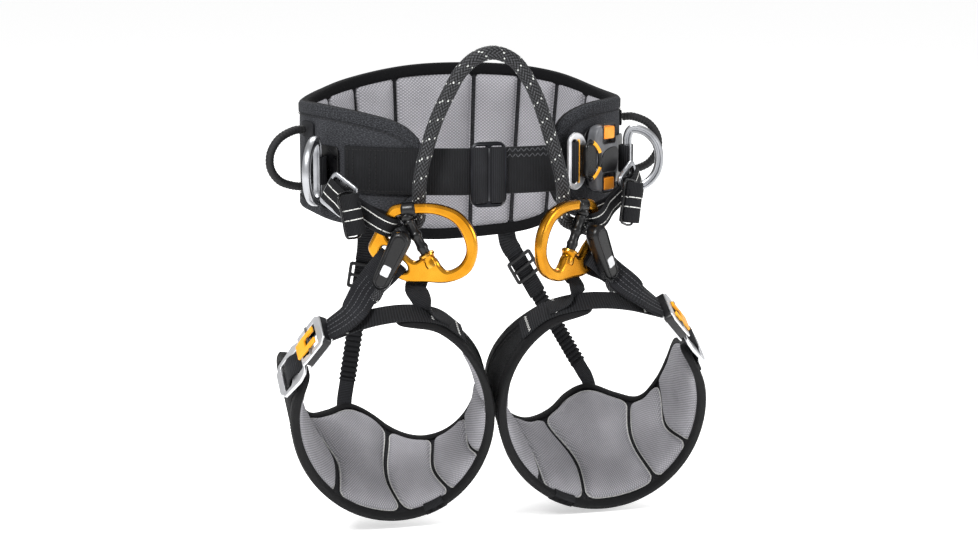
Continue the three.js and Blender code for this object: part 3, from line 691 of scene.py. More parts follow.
LOOKS = {
    "shell": cloth_look("shell_cloth", 0x26272a, 0x48494d),
    "leg_shell": cloth_look("leg_shell_cloth", 0x0d0d0e, 0x2e2f31),
    "lining": mesh_look("lining_mesh", 0x49484c, 0xb3b2b7),
    "base": cloth_look("base_cloth", 0x19191b, 0x3a3a3d, 1.0),
    "binding": web_look("binding_tape", 0x030304, 0x111113, 0.9, 0.18),
    "belt_binding": tape_look("belt_binding_tape", 0x030304, 0x111113, 0x1c1d1f, 0x3b3c40, 13.0),
    "webbing": web_look("black_webbing", 0x040405, 0x27282c),
    "fine_webbing": web_look("fine_webbing", 0x060607, 0x232427, 1.5, 0.35),
    "rib_webbing": web_look("ribbed_webbing", 0x040405, 0x26272a, 2.6, 0.6),
    "striped": web_look("striped_webbing", 0x040405, 0x1c1d20, 1.3, 0.3, (-4.5, 4.5)),
    # The gold's pale edge colour 0xf6cf78 is a painted highlight.
    "gold": metal_look("gold_alloy", 0xad6f10, 0xd99a2e, 0.25, 0xf6cf78),
    "silver": metal_look("silver_alloy", 0x85878b, 0xbcbdc1, 0.34),
    "bright": metal_look("bright_alloy", 0xc6c7ca, 0xf0f0f2, 0.42),
    "steel": metal_look("dark_steel", 0x3f4044, 0x77797d, 0.3),
    "dark_metal": metal_look("blackened_alloy", 0x121315, 0x303135, 0.36, 0x8a8b8e),
    "rubber": plastic_look("black_rubber", 0x040405, 0x131315, 0.26, 0.4, 0.04),
    "hose": plastic_look("gear_hose", 0x070708, 0x1d1d20, 0.6, 0.5, 0.08),
    "plastic": plastic_look("black_plastic", 0x070708, 0x2a2a2e, 0.3),
    "grey_plastic": plastic_look("grey_plastic", 0x4c4d50, 0x7e7f84, 0.38),
    "orange": plastic_look("orange_plastic", 0xee8a14, 0xfbb548, 0.34),
    "yellow": plastic_look("yellow_plastic", 0xe8960a, 0xf9bb34, 0.32),
    "rope": rope_look(),
    # Pale thread for the leg strap tacks; the same look paints the highlight tubes round the leg cushions.
    "pale_thread_and_painted_highlight": thread_look("pale_thread_and_painted_highlight", 0x8b8b8b, 0xdadad6),
    "grey_thread": thread_look("grey_thread", 0x2c2d30, 0x5a5b5f),
    "black_thread": thread_look("black_thread", 0x020203, 0x141416),
    "window": plastic_look("pale_window", 0xc9cacc, 0xf4f4f4, 0.5),
}


def piece(obj, body, slot, *nodes):
    """Fixes a piece to a body and hides the CAD solids it stands for; slot, the name of its finish, is not
    used.
    """
    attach(obj, body)
    if nodes:
        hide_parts(*nodes)
    return obj


# ---------------------------------------------------------------- camera
CAMERA = {"at": (-539.18, -2115.39, 300.02), "aim": (19.77, -29.40, -119.76), "lens": 85.03, "sensor": 36}
camera_data = bpy.data.cameras.new("camera")
camera = linked("camera", camera_data)
scene.camera = camera
camera.location = Vector(CAMERA["at"]) * MM
aim = Vector(CAMERA["aim"]) * MM
camera.rotation_euler = (aim - camera.location).to_track_quat("-Z", "Y").to_euler()
camera_data.sensor_width = CAMERA["sensor"]
camera_data.lens = CAMERA["lens"]


# ---------------------------------------------------------------- gated rings' frames and the rope
def ring_frame(ring):
    """A gated ring's frame: X towards the other ring, Y up, Z out of its front."""
    yaw = math.radians(ring["yaw"])
    side = ring["side"]
    x = Vector((-side * math.cos(yaw), -math.sin(yaw), 0))
    front = Vector((side * math.sin(yaw), -math.cos(yaw), 0))
    m = Matrix((x, UP, front)).transposed().to_4x4()
    m.translation = Vector(ring["at"])
    return m


TOP_BAR = {"y": 31.6, "behind": 13}
ARCH = [(-67.5, -118, -8), (-61.5, -120, 18), (-53.5, -122, 43), (-43.5, -124, 65), (-32, -125.5, 85),
        (-18, -126, 97.5), (-1, -126, 101.5), (17, -126, 94), (29, -126, 79), (39, -126, 60), (46, -126, 41),
        (52.5, -126.6, 20), (58.5, -126.6, 0), (63, -125.2, -18)]


def rope_end(ring, lift):
    return ring_frame(ring) @ Vector((ring["hang"], TOP_BAR["y"], -TOP_BAR["behind"])) + UP * lift


def tail_path(ring):
    """From under the arch, behind the ring's top bar, down and forward to the cap."""
    hang = ring["hang"]
    local = [(hang - 0.2, 27, -13.2), (lerp(hang, -14, 0.45), 20, -14.6), (-17, 14.5, -14.6),
             (-23.5, 11, -11.5), (-27, 8.8, -4), (-27.5, 8, 2), (-27.5, 8, 6)]
    return placed(ring_frame(ring), local)


BRAID = {"carriers": 12, "pitch": 4.2, "depth": 0.9}


def braid_cell(angle, distance):
    """Which strand family lies on top at a point of the rope, how high it stands, and whether it is white."""
    turns = angle * BRAID["carriers"] / (2 * math.pi)
    a = turns + distance / BRAID["pitch"]
    b = turns - distance / BRAID["pitch"]
    i, j = math.floor(a), math.floor(b)
    across, along = (a - i, b - j) if (i + j) % 4 < 2 else (b - j, a - i)
    height = math.sin(math.pi * across) ** 0.7 * (0.7 + 0.3 * math.sin(math.pi * along))
    white = (5 * i + 3 * j) % 13 == 0 and 0.2 < across < 0.8 and 0.2 < along < 0.8
    return height, white


def braid(name, points, diameter, spacing=0.6, sides=64):
    """A braided rope along the points; its strand heights and white yarns are marked for the material."""
    radius = lambda a, s: diameter / 2 - BRAID["depth"] * (1 - braid_cell(a, s)[0])
    obj = tube(name, points, radius, "rope", sides, spacing, angle=180)
    path = Path(smooth(points))
    cells = [braid_cell(a, t * path.length) for t in path.steps(spacing) for a in around(sides)]
    for key, place in (("crown", 0), ("tracer", 1)):
        data = obj.data.attributes.new(key, "FLOAT", "POINT").data
        data.foreach_set("value", [float(cell[place]) for cell in cells])
    return obj


def rope_half(ring):
    """From the tail's lower end up to the foot of the arch."""
    return [*reversed(tail_path(ring)), rope_end(ring, 0), rope_end(ring, 6)]


rope_points = [*rope_half(RINGS["left"]), *ARCH, *reversed(rope_half(RINGS["right"]))]
rope = braid("bridge_rope_braid", rope_points, ROPE_D)
rope_line = Path(smooth(rope_points))
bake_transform(rope)
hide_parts("bridge_rope", "bridge_tail_left", "bridge_tail_right")
[rope_line.at(i / 60) * MM for i in range(61)]


# ---------------------------------------------------------------- padded panels: belt and legs
def belt_point(degrees, offset, z):
    """A point of the belt's outer surface at an angle round the waist, moved out by offset."""
    t = math.radians(degrees)
    n = Vector((math.cos(t) / BELT["a"], math.sin(t) / BELT["b"], 0)).normalized()
    return Vector((BELT["a"] * math.cos(t), BELT["b"] * math.sin(t), z)) + n * offset


def belt_normal(degrees):
    return belt_point(degrees, 1, 0) - belt_point(degrees, 0, 0)


belt_top = profile([
    (-68, 4), (-65, 24), (-60, 38), (-48, 46), (-30, 47), (0, 45), (18, 48), (41, 60), (60, 66), (84, 68),
    (102, 66), (128, 57), (145, 50), (165, 46), (195, 48), (213, 46), (228, 41), (238, 34), (244, 22),
    (248, 4)])
belt_bottom = profile([
    (-68, -22), (-64, -38), (-54, -55), (-36, -58), (-10, -52), (10, -52), (30, -70), (48, -92), (60, -100),
    (85, -106), (100, -103), (120, -88), (135, -72), (155, -54), (188, -50), (212, -56), (232, -56),
    (243, -40), (248, -22)])

tilt = math.radians(32)
ALONG_AXIS = Vector((0, math.cos(tilt), math.sin(tilt)))
CLIMB = Vector((0, -math.sin(tilt), math.cos(tilt)))
PAD_START, PAD_END = 84, -214
width_at = profile([
    (-230, 16), (-214, 30), (-200, 60), (-188, 84), (-175, 93), (-158, 96), (-140, 100), (-125, 116),
    (-112, 132), (-104, 135), (-94, 128), (-84, 113), (-70, 98), (-50, 80), (-30, 67), (-10, 56), (8, 46),
    (24, 37), (40, 29), (56, 24), (72, 21), (84, 19)])
lift_at = profile([(-150, 0), (-125, 6), (-110, 8), (-90, 6), (-60, 0)])
bulk_at = profile([(-214, 0.75), (-190, 1), (0, 1), (40, 0.7), (84, 0.6)])
drop_at = profile([
    (58, 0), (76, 6), (90, 11), (104, 15), (117, 18), (135, 18), (150, 13), (165, 5), (180, 0)])
HALF = (PAD["shell"] + PAD["lining"] + GAP) / 2


def unwrap(degrees):
    """The same angle, between -225 and 135."""
    return (degrees + 225 + 720) % 360 - 225


def pad_width(leg, degrees):
    return leg["wide"] * width_at(degrees - leg["turn"])


def leg_point(leg, degrees, s, offset=0.0):
    """A point of a leg pad at an angle round the thigh: s across the pad, offset out from its middle."""
    t = math.radians(degrees)
    own = unwrap(degrees)
    dx = leg["ax"] * math.cos(t)
    dv = leg["av"] * math.sin(t) - leg["drop"] * drop_at(own if own > 0 else own + 360)
    lift = math.radians(lift_at(own - leg["turn"]))
    inside = clamp(offset, -HALF, HALF)
    outward = Vector((-leg["side"] * leg["av"] * math.cos(t), 0, 0)) + CLIMB * leg["ax"] * math.sin(t)
    n = outward.normalized()
    axis = ALONG_AXIS * math.cos(lift) + CLIMB * math.sin(lift)
    base = Vector((leg["cx"] - leg["side"] * dx + leg["lean"] * dv, -60, -280))
    return base + CLIMB * (leg["cv"] + dv) + axis * s + n * (inside * bulk_at(own) + offset - inside)


def leg_frame(leg, degrees, following, s, offset):
    origin = leg_point(leg, degrees, s, offset)
    x = (origin - leg_point(leg, following, s, offset)).normalized()
    return frame_of(origin, x, (ALONG_AXIS - x * ALONG_AXIS.dot(x)) * -leg["side"])


class Panel:
    """A padded panel: its surface at (angle, distance across, offset), its rim and the names it gives."""

    def __init__(self, name, body, point, low, high, first, last, face, back, channels, span, nodes):
        self.name, self.body, self.point = name, body, point
        self.low, self.high, self.first, self.last = low, high, first, last
        self.face, self.back = face, back            # offsets of the worn face and the outer face
        self.pinch = lerp(face, back, 0.33)          # the worn face's offset where the edge tape pinches it
        self.channels, self.span, self.nodes = channels, span, nodes

    def speed(self, a, b):
        """Millimetres along the panel for one degree."""
        return (self.point(a + 0.5, b, 0) - self.point(a - 0.5, b, 0)).length

    def rim(self, spacing=3.0):
        """Samples round the edge: (angle, across, and the outward direction in those two)."""
        steps, blend = 160, 6.0                      # blend: millimetres over which a corner turns
        angles = [lerp(self.first, self.last, i / steps) for i in range(steps + 1)]
        marks = [0.0]
        for a, b in zip(angles, angles[1:]):
            marks.append(marks[-1] + self.speed((a + b) / 2, 0) * (b - a))
        upper = [Vector((mark, self.high(a))) for mark, a in zip(marks, angles)]
        lower = [Vector((mark, self.low(a))) for mark, a in zip(marks, angles)]
        path = Path(upper + lower[::-1], True)
        e = blend / path.length
        out = []
        for t in path.steps(spacing)[:-1]:
            p = path.at(t)
            d = (path.at((t + e) % 1) - path.at((t - e) % 1)).normalized()
            i = clamp(bisect.bisect_right(marks, p.x) - 1, 0, steps - 1)
            share = (p.x - marks[i]) / (marks[i + 1] - marks[i])
            a = lerp(angles[i], angles[i + 1], share)
            out.append((a, p.y, Vector((-d.y, d.x))))
        return out

    def shifted(self, sample, inward):
        a, b, n = sample
        return a - n.x * inward / self.speed(a, b), b - n.y * inward


def wrap_section(panel, lip_front, lip_back, proud=0.9):
    """A U of tape over the pinched edge: (inward, offset) pairs from the outer lip round to the inner lip."""
    face, back = panel.pinch, panel.back
    out, inner = back + proud, face - proud
    middle = (back + face) / 2
    outside = [(lip_front, back + 0.35), (lip_front - 0.6, out - 0.1), (1.2, out), (-0.9, out - 1.2),
               (-1.7, lerp(out, middle, 0.45)), (-1.7, lerp(inner, middle, 0.45)), (-0.9, inner + 1.2),
               (1.2, inner), (lip_back - 0.6, inner + 0.1), (lip_back, face - 0.1)]
    return outside + [(lip_back, face + 0.8), (0.6, face + 0.8), (0.6, back - 0.8), (lip_front, back - 0.6)]


def wrapped(panel, sample, section):
    """A wrap section's points in space at one sample of the rim."""
    return [panel.point(*panel.shifted(sample, inward), offset) for inward, offset in section]


def tape(panel, lip_front, lip_back, look):
    """Edge tape round a whole panel."""
    section = wrap_section(panel, lip_front, lip_back)
    rings = [wrapped(panel, sample, section) for sample in panel.rim()]
    return skin(panel.name + "_edge_tape", rings, girth(section), look, True, 60)


def keeper(panel, first, last, look):
    """A short loop of webbing round the near rim."""
    section = wrap_section(panel, 11, 6, 1.9)
    rings = []
    for i in range(9):
        a = lerp(first, last, i / 8)
        rings.append(wrapped(panel, (a, panel.low(a), Vector((0, -1))), section))
    u = [2.0 * i for i in range(len(section) + 1)]
    return skin(panel.name + "_keeper", rings, u, look, False, 60)


def rim_stitches(panel, inward, offset):
    """Dashed thread along the rim, on the outer face."""
    return dashes([panel.point(*panel.shifted(sample, inward), offset) for sample in panel.rim(2.0)])


def layer(panel, name, far, shared, look, inset, crown=0.0, rows=14, columns=120):
    """One cloth layer between two offsets, with its far face gently crowned between the edges."""
    half_thread = 60                                 # thread coordinate at each long edge
    rings = []
    for i in range(columns + 1):
        a = lerp(panel.first + 0.7, panel.last - 0.7, i / columns)
        low, high = panel.low(a) + inset, panel.high(a) - inset
        lifts = [crown * (1 - abs(2 * j / rows - 1) ** 5) for j in range(rows + 1)]
        ring = [panel.point(a, lerp(low, high, j / rows), far + lift) for j, lift in enumerate(lifts)]
        rings.append(ring + [panel.point(a, lerp(high, low, j / 4), shared) for j in range(5)])
    u = [lerp(-half_thread, half_thread, j / rows) for j in range(rows + 1)]
    u += [lerp(half_thread, -half_thread, j / 4) for j in range(5)] + u[:1]
    return skin(name, rings, u, look, False, 50)


SWELL = 15.0                            # millimetres from a cushion's seam to its full height


def cushion_grid(panel, left, right, span, edge, rise, radius):
    """Rows of points of one cushion's worn face between two channels, with round corners.
    left and right give the channel angles for a share across; span is the share of the width it covers."""
    columns, rows = 14, 22
    mid_share = (span[0] + span[1]) / 2
    mid = (left(mid_share) + right(mid_share)) / 2
    wide = panel.high(mid) - panel.low(mid)
    speed = panel.speed(mid, panel.low(mid) + wide * mid_share)
    margins = [edge + getattr(side, "extra", 0.0) for side in (left, right)]
    half_x = abs(right(mid_share) - left(mid_share)) * speed / 2 - sum(margins) / 2
    half_y = wide * (span[1] - span[0]) / 2
    radius = min(radius, half_x * 0.8, half_y * 0.8)
    grid, border = [], []
    for i in range(columns + 1):
        x = -math.cos(math.pi * i / columns)
        x = lerp(x, 2 * i / columns - 1, 0.35)
        over = max(0.0, abs(x) * half_x - (half_x - radius))
        reach = half_y - radius + math.sqrt(max(0.0, radius * radius - over * over))
        row = []
        for j in range(rows + 1):
            y = lerp(-math.cos(math.pi * j / rows), 2 * j / rows - 1, 0.35) * reach / half_y
            share = lerp(span[0], span[1], (y + 1) / 2)
            a = lerp(left(share) + margins[0] / speed, right(share) - margins[1] / speed, (x + 1) / 2)
            b = lerp(panel.low(a), panel.high(a), share)
            inside = min(half_x * (1 - abs(x)), (reach / half_y - abs(y)) * half_y)
            d = clamp(inside / SWELL, 0, 1)
            height = rise * math.sqrt(max(0.0, 1 - (1 - d) ** 2))
            row.append((a, b, height))
            border.append(i in (0, columns) or j in (0, rows))
        grid.append(row)
    return grid, border


def cushions(panel, base, rise, edge, radius):
    """All the cushions of a panel as grids of points, before they are inflated."""
    made = []
    for left, right in zip(panel.channels, panel.channels[1:]):
        grid, border = cushion_grid(panel, left, right, panel.span, edge, rise, radius)
        front = [[panel.point(a, b, base - h) for a, b, h in row] for row in grid]
        back = [[panel.point(a, b, base + 1.2) for a, b, h in row] for row in grid]
        uv = [[(b, a * 2.0) for a, b, h in row] for row in grid]
        made.append({"front": front, "back": back, "uv": uv, "border": border})
    return made


def grid_quads(columns, rows):
    """The faces of a grid of points, each as four places in the list of its points."""
    starts = [i * rows + j for i in range(columns - 1) for j in range(rows - 1)]
    return [(k, k + 1, k + rows + 1, k + rows) for k in starts]


def border_loop(grid):
    """What stands round the edge of a grid, in order."""
    loop = [row[0] for row in grid] + grid[-1][1:]
    return loop + [row[-1] for row in reversed(grid[:-1])] + grid[0][-2:0:-1]


def inflate(groups, pressure=4.0, frames=20, cap=4.5):
    """Cloth simulation of the cushions' worn faces, borders held; no point moves more than the cap."""
    verts, faces, held = [], [], []
    for pad in groups:
        first = len(verts)
        columns, rows = len(pad["front"]), len(pad["front"][0])
        verts += [p for row in pad["front"] for p in row]
        held += [first + k for k, edge in enumerate(pad["border"]) if edge]
        quads = [tuple(first + k for k in quad) for quad in grid_quads(columns, rows)]
        outward = pad["front"][columns // 2][rows // 2] - pad["back"][columns // 2][rows // 2]
        a, b, c = (verts[k] for k in quads[-1][:3])
        if (b - a).cross(c - b).dot(outward) < 0:
            quads = [quad[::-1] for quad in quads]
        faces += quads
    mesh = bpy.data.meshes.new("inflating")
    mesh.from_pydata([v * MM for v in verts], [], faces)
    obj = linked("inflating", mesh)
    group = obj.vertex_groups.new(name="held")
    group.add(held, 1.0, "REPLACE")
    cloth = obj.modifiers.new("cloth", "CLOTH")
    cloth.settings.vertex_group_mass = "held"
    cloth.settings.use_pressure = True
    cloth.settings.uniform_pressure_force = pressure
    cloth.settings.effector_weights.gravity = 0
    cloth.settings.quality = 5
    cloth.settings.mass = 0.3
    cloth.settings.tension_stiffness = 30
    cloth.settings.compression_stiffness = 5
    cloth.point_cache.frame_start = 1
    cloth.point_cache.frame_end = frames
    for number in range(1, frames + 1):
        scene.frame_set(number)
    moved = obj.evaluated_get(bpy.context.evaluated_depsgraph_get()).data
    after = [v.co / MM for v in moved.vertices]
    steps = [(a - b).length for a, b in zip(after, verts)]
    print("inflated: mean move", sum(steps) / len(steps), "largest", max(steps))
    k = 0
    for pad in groups:
        for row in pad["front"]:
            for j in range(len(row)):
                move = after[k] - verts[k]
                if move.length > cap:
                    move *= cap / move.length
                row[j] = verts[k] + move
                k += 1
    bpy.data.objects.remove(obj)
    bpy.data.meshes.remove(mesh)
    scene.frame_set(1)


def cushion_object(panel, pads, look):
    """Joins a panel's cushions as closed pillows in one mesh."""
    verts, faces, uvs = [], [], []
    for pad in pads:
        columns, rows = len(pad["front"]), len(pad["front"][0])
        first = len(verts)
        verts += [p for row in pad["front"] for p in row]
        second = len(verts)
        verts += [p for row in pad["back"] for p in row]
        flat = [uv for row in pad["uv"] for uv in row]
        for quad in grid_quads(columns, rows):
            for start, corners in ((first, quad), (second, quad[::-1])):
                faces.append(tuple(start + q for q in corners))
                uvs.append([flat[q] for q in corners])
        loop = border_loop([[i * rows + j for j in range(rows)] for i in range(columns)])
        for p, q in zip(loop, loop[1:] + loop[:1]):
            faces.append((first + q, first + p, second + p, second + q))
            uvs.append([flat[q], flat[p], flat[p], flat[q]])
    obj = make_mesh(panel.name + "_cushions", verts, faces, uvs, look, 180)
    obj.modifiers.new("round", "SUBSURF").levels = 1
    obj.modifiers["round"].render_levels = 1
    return obj


def joined_tubes(name, loops, radius, look, closed, spacing=3.0, sides=6):
    """Several thin tubes as one mesh."""
    verts, faces, uvs = [], [], []
    for loop in loops:
        part = tube("part", loop, radius, look, sides, spacing, closed, dense=3)
        first = len(verts)
        verts += [v.co / MM for v in part.data.vertices]
        faces += [tuple(first + i for i in p.vertices) for p in part.data.polygons]
        layer_data = part.data.uv_layers["Thread"].data
        uvs += [[tuple(layer_data[i].uv) for i in p.loop_indices] for p in part.data.polygons]
        mesh = part.data
        bpy.data.objects.remove(part)
        bpy.data.meshes.remove(mesh)
    return make_mesh(name, verts, faces, uvs, look, 180)


def channel(keys, extra=0.0):
    """A channel's angle at a share of the panel's width; its sides stand wider by extra millimetres."""
    run = profile(sorted(keys))
    run.extra = extra
    return run


def straight(angle):
    return lambda share: angle


def leaning(angle):
    """A belt channel that leans towards the middle of the back at its lower end."""
    return lambda share: angle + (angle - 90) * 0.12 * (share - 0.8)


BELT_FACE = -BELT["shell"] - GAP - BELT["lining"]
PANELS = {
    "belt": Panel(
        "belt", "saddle", lambda a, b, offset: belt_point(a, offset, b), belt_bottom, belt_top,
        WING_RIGHT, WING_LEFT, BELT_FACE, 0,
        [leaning(a) for a in (-64, -20, 3, 23, 40, 57, 75, 106, 124.5, 141, 160, 182, 205, 244)],
        (0.055, 0.945), ("belt_shell", "belt_lining", "belt_binding")),
}
CHANNELS = {
    "left": [straight(-204), channel([(0, -131), (0.41, -127), (0.63, -134), (0.8, -142), (1, -146)], 2.4),
             channel([(0, -87), (0.37, -93), (0.83, -87), (1, -86)]),
             channel([(0, -54), (0.48, -61), (0.86, -57), (1, -56)]),
             channel([(0, -25), (0.43, -31), (0.78, -28), (1, -27)]), straight(4), straight(40)],
    "right": [straight(-197), channel([(0, -154), (0.48, -144), (0.79, -149), (1, -150)]),
              channel([(0, -125), (0.52, -118), (0.94, -124), (1, -125)]),
              channel([(0, -79), (0.38, -80), (0.82, -69), (1, -68)]),
              channel([(0, -50), (0.45, -48), (0.75, -40), (1, -34)], 2.4), straight(-4), straight(44)],
}
ROUND_END = 13                          # degrees over which a leg pad's ends narrow to a round tip


def tip(degrees):
    """The share of its width that a leg pad keeps near its ends."""
    x = clamp((ROUND_END - min(PAD_START - degrees, degrees - PAD_END)) / ROUND_END, 0, 1)
    return lerp(0.35, 1, math.sqrt(1 - x * x))


for side, leg in LEGS.items():
    PANELS["leg_" + side] = Panel(
        "leg_" + side, "leg_" + side, lambda a, b, offset, leg=leg: leg_point(leg, a, b, offset),
        lambda a, leg=leg: pad_width(leg, a) * (1 - tip(a)) / 2,
        lambda a, leg=leg: pad_width(leg, a) * (1 + tip(a)) / 2,
        PAD_END, PAD_START, -HALF, HALF, CHANNELS[side],
        (0.05, 0.945), (f"leg_shell_{side}", f"leg_lining_{side}", f"leg_binding_{side}"))

every_pad = {}
for name, panel in PANELS.items():
    seam = panel.back - (BELT if name == "belt" else PAD)["shell"] - 3.0
    edge, radius = (2.1, 3.0) if name == "belt" else (2.4, 9.0)
    every_pad[name] = cushions(panel, seam, seam - panel.face + 2.2, edge, radius)
inflate([pad for pads in every_pad.values() for pad in pads])

for name, panel in PANELS.items():
    is_belt = name == "belt"
    shell = (BELT if is_belt else PAD)["shell"]
    cloth = layer(panel, name + "_cloth", panel.back - 1.0, panel.back - shell,
                  "shell" if is_belt else "leg_shell", 1.2, 1.1)
    piece(cloth, panel.body, "shell", panel.nodes[0])
    base = layer(panel, name + "_base", panel.back - shell - 1.5, panel.back - shell - 0.1, "base", 1.2)
    piece(base, panel.body, "binding")
    pads = cushion_object(panel, every_pad[name], "lining")
    piece(pads, panel.body, "lining", panel.nodes[1])
    lips, look = ((9, 9), "belt_binding") if is_belt else ((7, 5), "binding")
    piece(tape(panel, *lips, look), panel.body, "binding", panel.nodes[2])
    seam = rim_stitches(panel, 10.3, panel.back + 0.55)
    piece(spindles(name + "_rim_seam", seam, 0.4, "black_thread"), panel.body, "binding")
    if not is_belt:
        middle = -67 if name == "leg_left" else -65
        piece(keeper(panel, middle - 6.5, middle + 6.5, "fine_webbing"), panel.body, "webbing")
        # A thin pale tube round each cushion's border stands for the highlight along the cushions' crests: a
        # painted highlight, not real piping.
        loops = [border_loop(pad["front"]) for pad in every_pad[name]]
        piece(joined_tubes(name + "_painted_highlight_tube", loops, 0.65, "pale_thread_and_painted_highlight", True), panel.body, "lining")

# ---------------------------------------------------------------- waist straps, slider and buckle
SLIDER = {"x": -5, "y": -119.5, "z": -9, "width": 34, "height": 60, "thick": 3.5, "bar": 4}


def strap_at(degrees):
    return belt_point(degrees, 1 + STRAP["thick"] / 2, STRAP["z"])


def waist_straps():
    z = STRAP["z"]
    left = [strap_at(a) for a in (216, 222, 228, 234, 240, 246)]
    left += [Vector((x, y, z)) for x, y in ((-50, -108.5), (-36, -112.5), (-24, -115), (-8, -115.5))]
    obj = strip("waist_strap_left_web", left, UP, STRAP["width"], STRAP["thick"], "fine_webbing")
    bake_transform(obj)
    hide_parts("waist_strap_left")
    right = [Vector((x, y, z)) for x, y in ((-3, -115.5), (20, -115.5), (42, -114.8), (56, -112.5),
                                            (66, -109.5))]
    obj = strip("waist_strap_right_web", right, UP, STRAP["width"], STRAP["thick"], "fine_webbing")
    piece(obj, "tongue", "webbing", "waist_strap_right")
    bars = []
    for row in range(2):
        line = Path([p + Vector((0, -1.45, STRAP["width"] / 2 - 3 - 5 * row)) for p in smooth(right)])
        zig = [line.at(i / 26) + UP * (1.6 if i % 2 else -1.6) for i in range(4, 27)]
        bars += list(zip(zig, zig[1:]))
    piece(spindles("waist_strap_right_stitching", bars, 0.4, "grey_thread"), "tongue", "webbing")
    lines = []
    for degrees in (217.5, 220, 227, 229.5):
        column = [belt_point(degrees, 3.7, z + dz) for dz in (-18, 18)]
        lines += dashes(column, 2.4, 1.2)
    for dz in (-18.5, 18.5):
        row = [belt_point(a / 2, 3.7, z + dz) for a in range(433, 484)]
        lines += dashes(row, 2.4, 1.2)
    piece(spindles("waist_strap_left_stitching", lines, 0.45, "black_thread"), "saddle", "webbing")


def slider():
    s = SLIDER
    at = frame_of((s["x"], s["y"], s["z"]), (1, 0, 0), UP)
    body = plate("slider_frame_cast", rounded_rect(0, 0, s["width"], s["height"], 9),
                 two_slots(s["width"], s["height"], s["bar"], 2), s["thick"], 1.2, at, "dark_metal")
    piece(body, "tongue", "steel", "slider_frame")
    for k in (-1, 1):
        half = ((1.2, -3), (1.6, 1.2), (4.5, 4.2), (9, 4.6), (13, 2.6), (15.2, -1.5))
        obj = strip(f"slider_web_{'left' if k < 0 else 'right'}", placed(at, [(k * x, z) for x, z in half]),
                    UP, s["height"] - 9, 2.4, "webbing", 1.5)
        piece(obj, "tongue", "webbing")
    bar = placed(at, [(0, y, 2.2) for y in (-24, 0, 24)])
    piece(tube("slider_bar", bar, 1.2, "dark_metal", 10, 4), "tongue", "steel")


BUCKLE = {"angle": -48.5, "x": 7, "width": 38, "height": 60, "base": 3, "depth": 13}
buckle_at = frame_of(belt_point(BUCKLE["angle"], 0, -2), UP.cross(belt_normal(BUCKLE["angle"])), UP)


def waist_buckle():
    at = buckle_at
    outline = rounded_rect(BUCKLE["x"], 0, BUCKLE["width"], BUCKLE["height"] - 4, 10)
    base = plate("waist_buckle_base_plate", outline, [], BUCKLE["base"], 0.8, lifted(at, 0, 0, 2.3),
                 "plastic")
    piece(base, "saddle", "plastic", "waist_buckle_base")
    outline = smooth([*mirrored([(-6, -29), (8, -30), (19, -21), (23, 0)]),
                      (-11, 16), (-12.5, 0), (-11, -16)], 12, True)
    cover = plate("waist_buckle_housing", outline, [], BUCKLE["depth"], 3.4, lifted(at, 0, 0, 10.7),
                  "grey_plastic", 5)
    tongue_way = (-30, 0.5, -14.5, 14.5, 4.9, 9.2)
    cut(cover, [tongue_way, (-0.9, 15.9, 13.5, 40, 9.5, 30), (-0.9, 15.9, -40, -13.5, 9.5, 30)], at)
    piece(cover, "saddle", "grey_plastic", "waist_buckle_cover")
    dark = smooth([(-2, -12), (7, -12.4), (16, -12), (20, -2), (18.5, 9), (8, 9.5), (-2, 4)], 10, True)
    panel = plate("waist_buckle_panel", dark, [], 1.2, 0.5, lifted(at, 0, 0, 17.5), "plastic")
    piece(panel, "saddle", "plastic")
    for name, s in (("top", 1), ("bottom", -1)):
        body = plate(f"waist_button_{name}_key", rounded_rect(7.5, s * 23.8, 15, 11.5, 1.8), [], 7.4, 1.0,
                     lifted(at, 0, 0, 14.0), "orange")
        piece(body, f"button_{name}", "orange", f"waist_button_{name}")
        rim = plate(f"waist_button_{name}_rim", rounded_rect(7.5, s * 22.4, 19.4, 18, 2.6),
                    [rounded_rect(7.5, s * 23.2, 16.4, 19, 1.8)], 1.4, 0.4, lifted(at, 0, 0, 16.8),
                    "plastic")
        piece(rim, "saddle", "plastic")
    turns = [math.radians(x) for x in range(-66, 67, 6)]
    arc = [(-26 + 19.5 * math.cos(a), 19.5 * math.sin(a)) for a in turns]
    line = placed(at, [(x, y, 18.2 - abs(y) * 0.16) for x, y in arc])
    piece(tube("waist_buckle_mouth", line, 2.3, "rubber", 12, 2), "saddle", "rubber")
    for name, (a0, a1) in {"upper": (20, 56), "lower": (-56, -20)}.items():
        turns = [math.radians(lerp(a0, a1, i / 6)) for i in range(7)]
        arc = [(-26 + 19.8 * math.cos(a), 19.8 * math.sin(a)) for a in turns]
        line = placed(at, [(x, y, 19.0 - abs(y) * 0.16) for x, y in arc])
        piece(tube(f"waist_buckle_mark_{name}", line, 2.1, "yellow", 12, 2), "saddle", "yellow")


